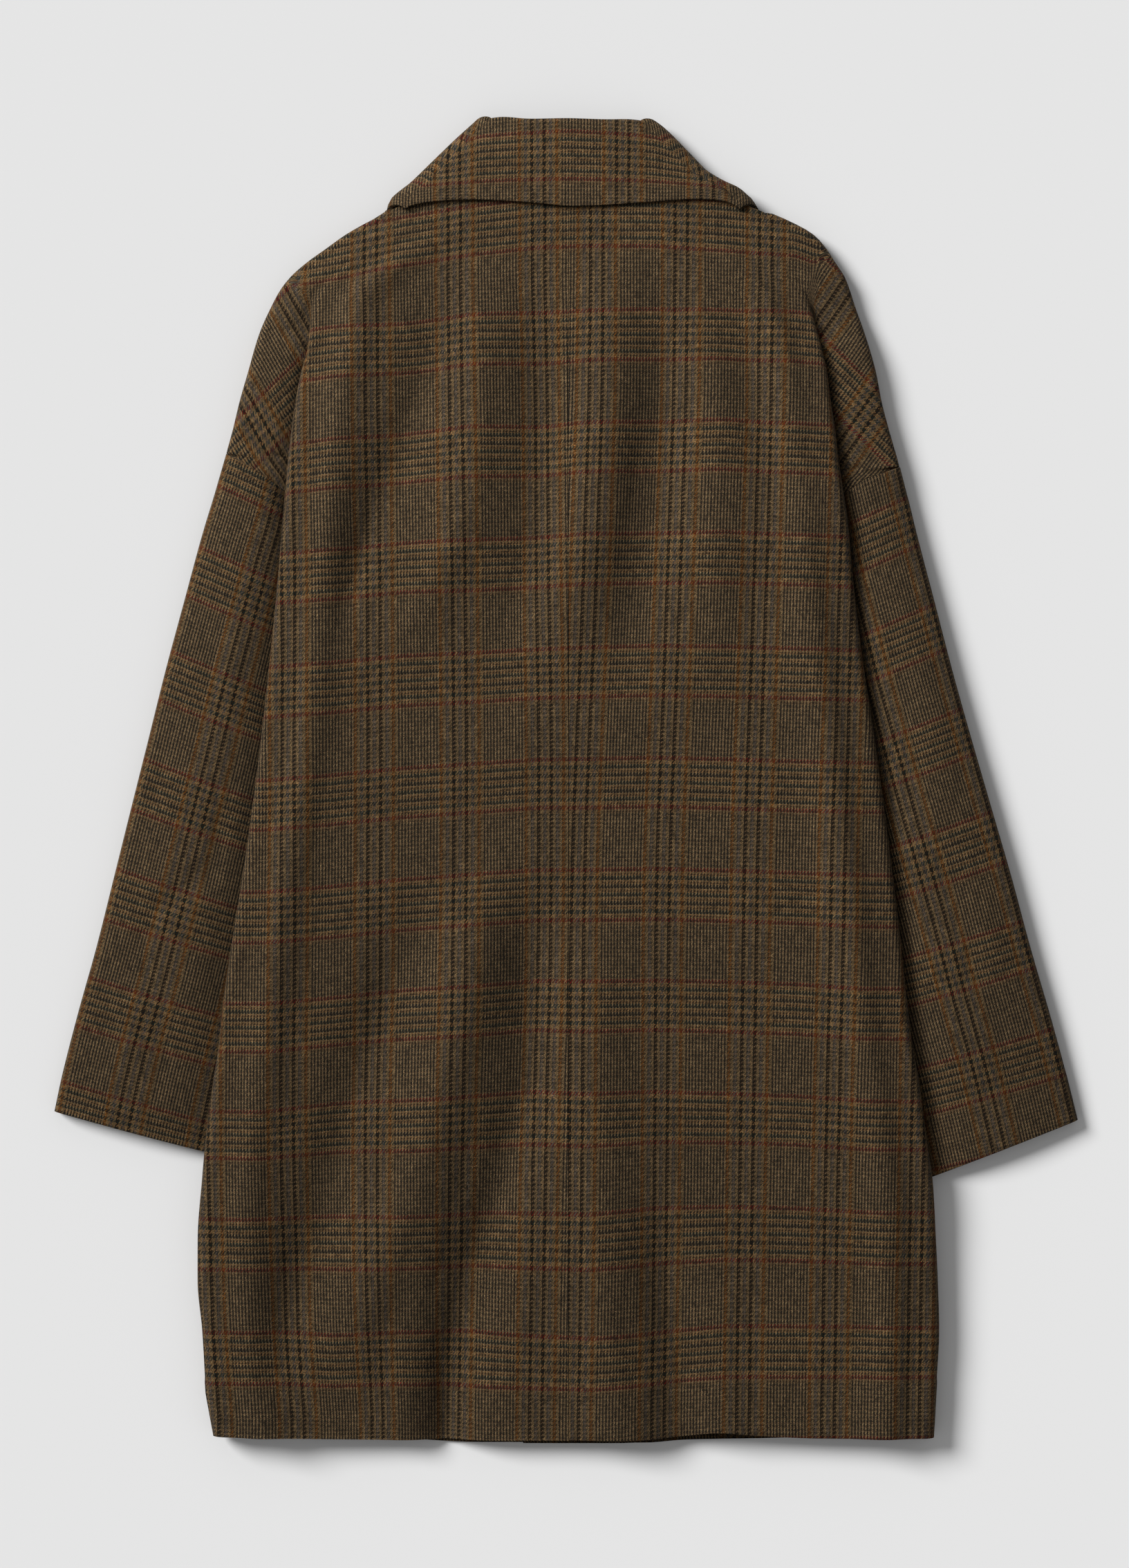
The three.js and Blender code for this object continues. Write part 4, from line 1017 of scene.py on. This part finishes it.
def closed_wall(name, grid, threads, thickness, ring=False):
    """Makes one closed wall of cloth: a grid moved onto the middle surface, then given its thickness."""
    rows, columns = len(grid) - 1, len(grid[0]) - 1
    mesh_data = bmesh.new()
    bmesh.ops.create_grid(mesh_data, x_segments=columns, y_segments=rows, size=0.5)
    cloth_map = mesh_data.loops.layers.uv.new("Cloth")
    bake_map = mesh_data.loops.layers.uv.new("OFBake")
    row_of = mesh_data.verts.layers.int.new("row")
    column_of = mesh_data.verts.layers.int.new("column")
    for vert in mesh_data.verts:
        vert[row_of] = round((0.5 - vert.co.y) * rows)
        vert[column_of] = round((vert.co.x + 0.5) * columns)
    for face in mesh_data.faces:
        for loop in face.loops:
            i, j = loop.vert[row_of], loop.vert[column_of]
            loop[cloth_map].uv = threads[i][j]
            loop[bake_map].uv = (
                BAKE_RIM + BAKE_WIDTH * j / columns, BAKE_RIM + BAKE_HEIGHT * (1 - i / rows))
    for vert in mesh_data.verts:
        vert.co = Vector(grid[vert[row_of]][vert[column_of]]) * MM
    if ring:
        bmesh.ops.remove_doubles(mesh_data, verts=mesh_data.verts[:], dist=1e-6)
    mesh_data.normal_update()
    normals = {(v[row_of], v[column_of]): v.normal.copy() for v in mesh_data.verts}
    under = mesh_data.faces[:]
    made = bmesh.ops.extrude_face_region(mesh_data, geom=under, use_keep_orig=True)
    over = {item for item in made["geom"] if isinstance(item, bmesh.types.BMVert)}
    for vert in mesh_data.verts:
        place = (vert[row_of], vert[column_of])
        half = thickness(*place) / 2 * MM
        vert.co += normals[place] * (half if vert in over else -half)
    bmesh.ops.reverse_faces(mesh_data, faces=under)
    for face in under:
        for loop in face.loops:
            loop[bake_map].uv.x += 0.5
    over_faces = {item for item in made["geom"] if isinstance(item, bmesh.types.BMFace)}
    sheets = over_faces | set(under)
    rim = [e for e in mesh_data.edges if sum(f in sheets for f in e.link_faces) == 1]
    bmesh.ops.bevel(
        mesh_data, geom=rim, offset=RIM, segments=2, profile=0.5, affect="EDGES", material=-1)
    for vert in mesh_data.verts:
        vert.co.z = max(vert.co.z, 0)
    if mesh_data.calc_volume(signed=True) < 0:
        bmesh.ops.reverse_faces(mesh_data, faces=mesh_data.faces[:])
    mesh = bpy.data.meshes.new(name)
    mesh_data.to_mesh(mesh)
    mesh_data.free()
    mesh.polygons.foreach_set("use_smooth", [True] * len(mesh.polygons))
    piece = bpy.data.objects.new(name, mesh)
    bpy.context.scene.collection.objects.link(piece)
    return piece


def lit_cloth():
    """The pieces that the top light falls on."""
    name = "lit_cloth"
    return bpy.data.collections.get(name) or bpy.data.collections.new(name)


def finish_piece(piece, node):
    """Gives a piece its cloth and its place on the coat, puts it under the top light and hides its part of
    the frame.
    """
    piece.data.materials.append(wool_material())
    lit_cloth().objects.link(piece)
    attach(piece, "root")
    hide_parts(node)


def linear(red, green, blue):
    """A colour given from 0 to 255, as it is seen, in the linear values that a shader takes."""
    def one(value):
        share = value / 255
        return share / 12.92 if share <= 0.04045 else ((share + 0.055) / 1.055) ** 2.4

    return one(red), one(green), one(blue)


def node_of(tree, kind, inputs=(), **settings):
    """A node with its settings, and its inputs by name or number: a socket is linked, a value is set."""
    made = tree.nodes.new(kind)
    for key, value in settings.items():
        setattr(made, key, value)
    for key, value in dict(inputs).items():
        if isinstance(value, bpy.types.NodeSocket):
            tree.links.new(value, made.inputs[key])
        else:
            made.inputs[key].default_value = value
    return made


def calculate(tree, operation, *values):
    """A Math node; each input is a socket or a number."""
    return node_of(tree, "ShaderNodeMath", enumerate(values), operation=operation).outputs[0]


def vector_math(tree, operation, inputs):
    return node_of(tree, "ShaderNodeVectorMath", inputs, operation=operation).outputs[0]


def blend_numbers(tree, share, first, second):
    inputs = {0: share, 2: first, 3: second}
    return node_of(tree, "ShaderNodeMix", inputs, data_type="FLOAT").outputs[0]


def blend_colours(tree, share, first, second):
    inputs = {0: share, 6: first, 7: second}
    return node_of(tree, "ShaderNodeMix", inputs, data_type="RGBA").outputs[2]


def noise(tree, place, scale, detail, roughness=0.5):
    inputs = {"Vector": place, "Scale": scale, "Detail": detail, "Roughness": roughness}
    return node_of(tree, "ShaderNodeTexNoise", inputs)


def around_one(tree, value, spread):
    """Turns a noise value into a factor between 1 - spread and 1 + spread."""
    inputs = {0: value, "From Min": 0.3, "From Max": 0.7, "To Min": 1 - spread, "To Max": 1 + spread}
    return node_of(tree, "ShaderNodeMapRange", inputs).outputs[0]


def yarns(cloth, way, bars):
    """Colours of the yarns of one direction: its light, fine and dark yarn, and its own bars."""
    colours = {name: tuple(getattr(cloth, f"{way}_{name}")) for name in ("light", "fine", "dark")}
    colours.update({name: tuple(getattr(cloth, name)) for name in bars})
    return colours


def yarn_colour(tree, thread, bars, palette):
    """Colour of a thread by its number: the bold bars from a ramp, then the fine two-and-two."""
    place = calculate(tree, "MODULO", thread, REPEAT)
    place = calculate(tree, "ADD", place, REPEAT)
    place = calculate(tree, "MODULO", place, REPEAT)
    ramp = node_of(tree, "ShaderNodeValToRGB")
    ramp.color_ramp.interpolation = "CONSTANT"
    tree.links.new(calculate(tree, "DIVIDE", place, REPEAT), ramp.inputs[0])
    stops = ramp.color_ramp.elements
    for k, bar in enumerate(bars):
        start = max(0, (BAR * k - 0.5) / REPEAT)
        stop = stops[k] if k < 2 else stops.new(start)
        stop.position = start
        stop.color = (*palette[bar], 1)
    pair = calculate(tree, "LESS_THAN", calculate(tree, "MODULO", place, TWILL), 1.5)
    fine = blend_colours(tree, pair, (*palette["fine"], 1), (*palette["dark"], 1))
    in_fine = calculate(tree, "GREATER_THAN", place, FINE_START - 0.5)
    return blend_colours(tree, in_fine, ramp.outputs[0], fine)


def wool_material():
    """Twill of checked wool, woven thread by thread from the piece's own thread numbers."""
    name = "checked_wool"
    if name in bpy.data.materials:
        return bpy.data.materials[name]
    cloth = bpy.context.scene.coat_cloth
    material = bpy.data.materials.new(name)
    material.use_nodes = True
    tree = material.node_tree
    tree.nodes.clear()
    uv = node_of(tree, "ShaderNodeUVMap", uv_map="Cloth").outputs[0]
    place = node_of(tree, "ShaderNodeTexCoord").outputs["Object"]

    wander = noise(tree, uv, scale=0.11, detail=4, roughness=0.62).outputs["Color"]
    centred = vector_math(tree, "SUBTRACT", {0: wander, 1: (0.5, 0.5, 0.5)})
    strayed = {0: centred, 1: (cloth.wander, cloth.wander, 0), 2: uv}
    shifted = vector_math(tree, "MULTIPLY_ADD", strayed)
    warp, weft = node_of(tree, "ShaderNodeSeparateXYZ", {0: shifted}).outputs[:2]
    warp_number = calculate(tree, "FLOOR", warp)
    weft_number = calculate(tree, "FLOOR", weft)
    warp_yarns = yarns(cloth, "warp", ("rust", "blue", "black"))
    weft_yarns = yarns(cloth, "weft", ("red", "ochre", "green", "navy"))
    warp_colour = yarn_colour(tree, warp_number, WARP_BARS, warp_yarns)
    weft_colour = yarn_colour(tree, weft_number, WEFT_BARS, weft_yarns)
    # Two over, two under: a float lies over two threads, highest at its middle, where painted shade makes
    # it lightest.
    crossing = calculate(tree, "ADD", warp_number, weft_number)
    crossing = calculate(tree, "MODULO", calculate(tree, "ADD", crossing, ABOVE_ZERO), TWILL)
    warp_over = calculate(tree, "GREATER_THAN", crossing, 1.5)
    warp_seen = calculate(tree, "MAXIMUM", warp_over, WARP_THROUGH)
    colour = blend_colours(tree, warp_seen, weft_colour, warp_colour)
    warp_part = calculate(tree, "FRACT", warp)
    weft_part = calculate(tree, "FRACT", weft)
    across = blend_numbers(tree, warp_over, weft_part, warp_part)
    onward = blend_numbers(tree, warp_over, warp_part, weft_part)
    onward = calculate(tree, "ADD", onward, calculate(tree, "MODULO", crossing, 2))
    across = calculate(tree, "SINE", calculate(tree, "MULTIPLY", across, HALF_TURN))
    onward = calculate(tree, "SINE", calculate(tree, "MULTIPLY", onward, HALF_TURN / 2))
    onward = calculate(tree, "MULTIPLY_ADD", onward, 0.55, 0.45)
    float_height = calculate(tree, "MULTIPLY", across, onward)

    # Heather: every yarn is spun from lighter and darker fibre, in streaks along the thread.
    streaks = []
    for number, along in ((warp_number, weft), (weft_number, warp)):
        apart = calculate(tree, "MULTIPLY", number, STREAK_APART)
        drawn = calculate(tree, "MULTIPLY", along, STREAK_RATE)
        spot = node_of(tree, "ShaderNodeCombineXYZ", {0: apart, 1: drawn}).outputs[0]
        streaks.append(noise(tree, spot, scale=1, detail=2, roughness=0.65).outputs[0])
    streak = blend_numbers(tree, warp_over, streaks[1], streaks[0])
    nap = noise(tree, place, scale=900, detail=3, roughness=0.7).outputs[0]
    patches = noise(tree, place, scale=14, detail=4).outputs[0]
    spots = node_of(tree, "ShaderNodeSeparateXYZ", {0: centred}).outputs[2]
    tone = calculate(
        tree, "MULTIPLY", around_one(tree, streak, cloth.heather), around_one(tree, patches, 0.07))
    tone = calculate(tree, "MULTIPLY", tone, calculate(tree, "MULTIPLY_ADD", spots, MOTTLE, 1))
    tone = calculate(tree, "MULTIPLY", tone, calculate(tree, "MULTIPLY_ADD", nap, 0.5, 0.75))
    # Painted shade: by the float height, the colour is darkened between the floats and at their ends and
    # lightened on their middles, keeping its mean.
    depth = calculate(tree, "MULTIPLY_ADD", float_height, cloth.gap_shade, 1 - FLOAT_MEAN * cloth.gap_shade)
    tone = calculate(tree, "MULTIPLY", tone, depth)

    height = calculate(tree, "MULTIPLY_ADD", nap, 0.6, float_height)
    relief = {"Height": height, "Strength": cloth.relief, "Distance": 0.0002}
    look = {
        "Base Color": vector_math(tree, "SCALE", {0: colour, "Scale": tone}),
        "Normal": node_of(tree, "ShaderNodeBump", relief).outputs[0],
        "Roughness": 0.92, "Specular IOR Level": 0.12,
        "Sheen Weight": 0.05, "Sheen Roughness": 0.45, "Sheen Tint": (0.55, 0.47, 0.36, 1),
    }
    shader = node_of(tree, "ShaderNodeBsdfPrincipled", look)
    node_of(tree, "ShaderNodeOutputMaterial", {"Surface": shader.outputs[0]})
    return material


def colour_property(name, description, red, green, blue):
    return bpy.props.FloatVectorProperty(
        name=name, description=description, subtype="COLOR", size=3, min=0, max=1,
        default=linear(red, green, blue))


def number_property(name, description, default, **rest):
    return bpy.props.FloatProperty(name=name, description=description, default=default, **rest)


def wall_property(name, description, default):
    return number_property(
        name, description, default, min=0.001, max=0.003, precision=4, unit="LENGTH")


def angle_property(name, description, degrees, **limits):
    return number_property(
        name, description, math.radians(degrees), subtype="ANGLE", unit="ROTATION", **limits)


class CoatCloth(bpy.types.PropertyGroup):
    """Colours of the yarns and the look of the cloth."""
    warp_light: colour_property("Warp light", "Light yarn that runs up the coat", 71, 57, 36)
    warp_fine: colour_property("Warp fine", "Light yarn of the fine check, up the coat", 79, 65, 44)
    warp_dark: colour_property("Warp dark", "Dark yarn of the fine check, up the coat", 23, 18, 11)
    rust: colour_property("Rust", "Rust bars up the coat", 61, 36, 7)
    blue: colour_property("Blue grey", "Blue-grey bars up the coat", 50, 44, 37)
    black: colour_property("Black brown", "Black-brown bars up the coat", 17, 9, 0)
    weft_light: colour_property("Weft light", "Light yarn across the coat", 62, 45, 28)
    weft_fine: colour_property("Weft fine", "Light yarn of the fine check, across", 66, 50, 34)
    weft_dark: colour_property("Weft dark", "Dark yarn of the fine check, across", 23, 18, 12)
    red: colour_property("Red", "Red lines across the coat", 53, 0, 1)
    ochre: colour_property("Ochre", "Ochre bars across the coat", 77, 55, 32)
    green: colour_property("Green", "Dark green bars across the coat", 0, 13, 13)
    navy: colour_property("Navy", "Blue-black bars across the coat", 0, 2, 5)
    heather: number_property(
        "Heather", "How much lighter and darker fibre shows in each yarn", 0.75, min=0, max=1,
        subtype="FACTOR")
    wander: number_property("Wander", "How far a yarn strays from its line, in threads", 0.7, min=0, max=6)
    # painted shade between the floats: how much darker the colour is made there
    gap_shade: number_property("Gaps", "How much darker the cloth is between its floats", 1.5, min=0, max=1.9)
    relief: number_property(
        "Relief", "Strength of the twill's relief", 0.6, min=0, max=1, subtype="FACTOR")


class CoatShape(bpy.types.PropertyGroup):
    """Sizes of the cloth and its creases."""
    body_wall: wall_property("Body cloth", "Thickness of backs and fronts", 0.0025)
    sleeve_wall: wall_property("Sleeve cloth", "Thickness of the sleeves", 0.0022)
    collar_wall: wall_property("Collar cloth", "Thickness of the collar", 0.0024)
    creases: number_property("Creases", "Strength of the fine creases", 1, min=0, max=2)


class CoatStage(bpy.types.PropertyGroup):
    """Floor, lights and camera."""
    floor: colour_property("Floor", "Colour of the floor", 232, 232, 232)
    key: number_property("Key light", "Strength of the soft light from the upper left", 3.8, min=0)
    key_height: angle_property(
        "Key height", "Angle of the soft light over the floor", 34, min=0.1, max=HALF_TURN / 2)
    key_way: angle_property(
        "Key direction", "Way that shadows fall, from the right towards the hem", 32)
    softness: angle_property("Softness", "Width of the soft light", 24, min=0, max=HALF_TURN)
    fill: number_property("Fill", "Strength of the light from all round", 0.295, min=0)
    top_light: number_property(
        "Top light", "Power of the light over the collar, on the cloth alone", 18, min=0, unit="POWER")
    distance: number_property(
        "Camera distance", "Height of the camera over the floor", 3.2, min=1, unit="LENGTH")


class COAT_OT_backs(bpy.types.Operator):
    """Make the two back panels, which fold over the sleeves and down to the fronts"""
    bl_idname = "coat.backs"
    bl_label = "Backs"

    def execute(self, context):
        shape = context.scene.coat_shape
        wall = shape.body_wall / MM
        for side, name in ((LEFT, "left"), (RIGHT, "right")):
            grid = back_grid(side, wall, shape.creases)

            def thickness(i, j, grid=grid):
                hem_top = HEM_Y + HEM_DEPTH
                turned_up = 1 - smooth(hem_top, hem_top + HEM_FADE, grid[i][j][1])
                return wall + (HEM_EXTRA * turned_up if j <= TUCK_END else 0)

            piece = closed_wall(f"coat_back_{name}", grid, back_threads(side, grid), thickness)
            finish_piece(piece, f"back_{name}")
        return {"FINISHED"}


class COAT_OT_fronts(bpy.types.Operator):
    """Make the two fronts, which lie flat on the table under the rest"""
    bl_idname = "coat.fronts"
    bl_label = "Fronts"

    def execute(self, context):
        shape = context.scene.coat_shape
        wall = shape.body_wall / MM
        for side, name, under in ((LEFT, "left", []), (RIGHT, "right", ["front_left"])):
            grid = front_grid(side, wall, shape.creases)
            piece = closed_wall(f"coat_front_{name}", grid, front_threads(grid), lambda i, j: wall)
            finish_piece(piece, f"front_{name}")
        return {"FINISHED"}


class COAT_OT_sleeves(bpy.types.Operator):
    """Make the two sleeves, flat tubes from the armhole to the cuff"""
    bl_idname = "coat.sleeves"
    bl_label = "Sleeves"

    def execute(self, context):
        shape = context.scene.coat_shape
        wall = shape.sleeve_wall / MM
        for side, name in ((LEFT, "left"), (RIGHT, "right")):
            grid, outer_index = sleeve_grid(side, wall, shape.creases)
            threads = sleeve_threads(side, grid, outer_index)
            piece = closed_wall(f"coat_sleeve_{name}", grid, threads, lambda i, j: wall, ring=True)
            finish_piece(piece, f"sleeve_{name}")
        return {"FINISHED"}


class COAT_OT_collar(bpy.types.Operator):
    """Make the turned-down collar with its stand and its two front ends"""
    bl_idname = "coat.collar"
    bl_label = "Collar"

    def execute(self, context):
        shape = context.scene.coat_shape
        wall = shape.collar_wall / MM
        grid = collar_grid(wall, shape.creases)
        piece = closed_wall("coat_collar", grid, collar_threads(grid), lambda i, j: wall)
        finish_piece(piece, "collar")
        return {"FINISHED"}


class COAT_OT_stage(bpy.types.Operator):
    """Make the floor, the soft studio light and the camera straight over the coat"""
    bl_idname = "coat.stage"
    bl_label = "Stage"

    def execute(self, context):
        stage = context.scene.coat_stage
        mesh_data = bmesh.new()
        bmesh.ops.create_grid(mesh_data, x_segments=1, y_segments=1, size=FLOOR_HALF)
        mesh = bpy.data.meshes.new("floor")
        mesh_data.to_mesh(mesh)
        mesh_data.free()
        for vert in mesh.vertices:
            vert.co.z = -FLOOR_DROP
        floor = bpy.data.objects.new("floor", mesh)
        context.scene.collection.objects.link(floor)
        paint = bpy.data.materials.new("floor_paint")
        paint.use_nodes = True
        shader = paint.node_tree.nodes["Principled BSDF"]
        shader.inputs["Base Color"].default_value = (*stage.floor, 1)
        shader.inputs["Roughness"].default_value = 0.9
        shader.inputs["Specular IOR Level"].default_value = 0.1
        mesh.materials.append(paint)

        world = bpy.data.worlds.new("studio")
        world.use_nodes = True
        background = world.node_tree.nodes["Background"]
        background.inputs["Color"].default_value = (1, 1, 1, 1)
        background.inputs["Strength"].default_value = stage.fill
        context.scene.world = world

        key = bpy.data.lights.new("key", "SUN")
        key.energy = stage.key
        key.angle = stage.softness
        lamp = bpy.data.objects.new("key", key)
        level = math.cos(stage.key_height)
        shine = Vector((level * math.cos(stage.key_way), -level * math.sin(stage.key_way),
                        -math.sin(stage.key_height)))
        lamp.rotation_euler = shine.to_track_quat("-Z", "Y").to_euler()
        context.scene.collection.objects.link(lamp)

        top = bpy.data.lights.new("top", "AREA")
        top.size = TOP_LIGHT_SIZE
        top.energy = stage.top_light
        lamp = bpy.data.objects.new("top", top)
        lamp.location = TOP_LIGHT_PLACE
        aim = Vector(TOP_LIGHT_AIM) - lamp.location
        lamp.rotation_euler = aim.to_track_quat("-Z", "Y").to_euler()
        lamp.light_linking.receiver_collection = lit_cloth()
        context.scene.collection.objects.link(lamp)

        lens = bpy.data.cameras.new("camera")
        lens.sensor_fit = "VERTICAL"
        lens.sensor_height = SENSOR
        lens.lens = (stage.distance - FOCUS_HEIGHT) * SENSOR / (PHOTO_HEIGHT * PIXEL * MM)
        camera = bpy.data.objects.new("camera", lens)
        camera.location = (
            (PHOTO_MIDDLE[0] - ORIGIN_PIXEL[0]) * PIXEL * MM,
            (ORIGIN_PIXEL[1] - PHOTO_MIDDLE[1]) * PIXEL * MM, stage.distance)
        context.scene.collection.objects.link(camera)
        context.scene.camera = camera
        context.scene.view_settings.view_transform = "Standard"
        return {"FINISHED"}


class COAT_PT_pieces(bpy.types.Panel):
    """Lists the pieces of the coat and their settings"""
    bl_label = "Checked wool coat"
    bl_idname = "COAT_PT_pieces"
    bl_space_type = "VIEW_3D"
    bl_region_type = "UI"
    bl_category = "Coat"

    def draw(self, context):
        column = self.layout.column()
        for operator in (COAT_OT_fronts, COAT_OT_sleeves, COAT_OT_backs, COAT_OT_collar, COAT_OT_stage):
            column.operator(operator.bl_idname)
        for group in ("coat_shape", "coat_cloth", "coat_stage"):
            settings = getattr(context.scene, group)
            column.separator()
            for key in settings.__annotations__:
                column.prop(settings, key)


CLASSES = (
    CoatCloth, CoatShape, CoatStage, COAT_OT_backs, COAT_OT_fronts, COAT_OT_sleeves, COAT_OT_collar,
    COAT_OT_stage, COAT_PT_pieces,
)


def register():
    for cls in CLASSES:
        bpy.utils.register_class(cls)
    bpy.types.Scene.coat_cloth = bpy.props.PointerProperty(type=CoatCloth)
    bpy.types.Scene.coat_shape = bpy.props.PointerProperty(type=CoatShape)
    bpy.types.Scene.coat_stage = bpy.props.PointerProperty(type=CoatStage)


def unregister():
    del bpy.types.Scene.coat_stage
    del bpy.types.Scene.coat_shape
    del bpy.types.Scene.coat_cloth
    for cls in reversed(CLASSES):
        bpy.utils.unregister_class(cls)


def main():
    register()
    bpy.ops.coat.stage()
    bpy.ops.coat.fronts()
    bpy.ops.coat.sleeves()
    bpy.ops.coat.backs()
    bpy.ops.coat.collar()


if __name__ == "__main__":
    main()
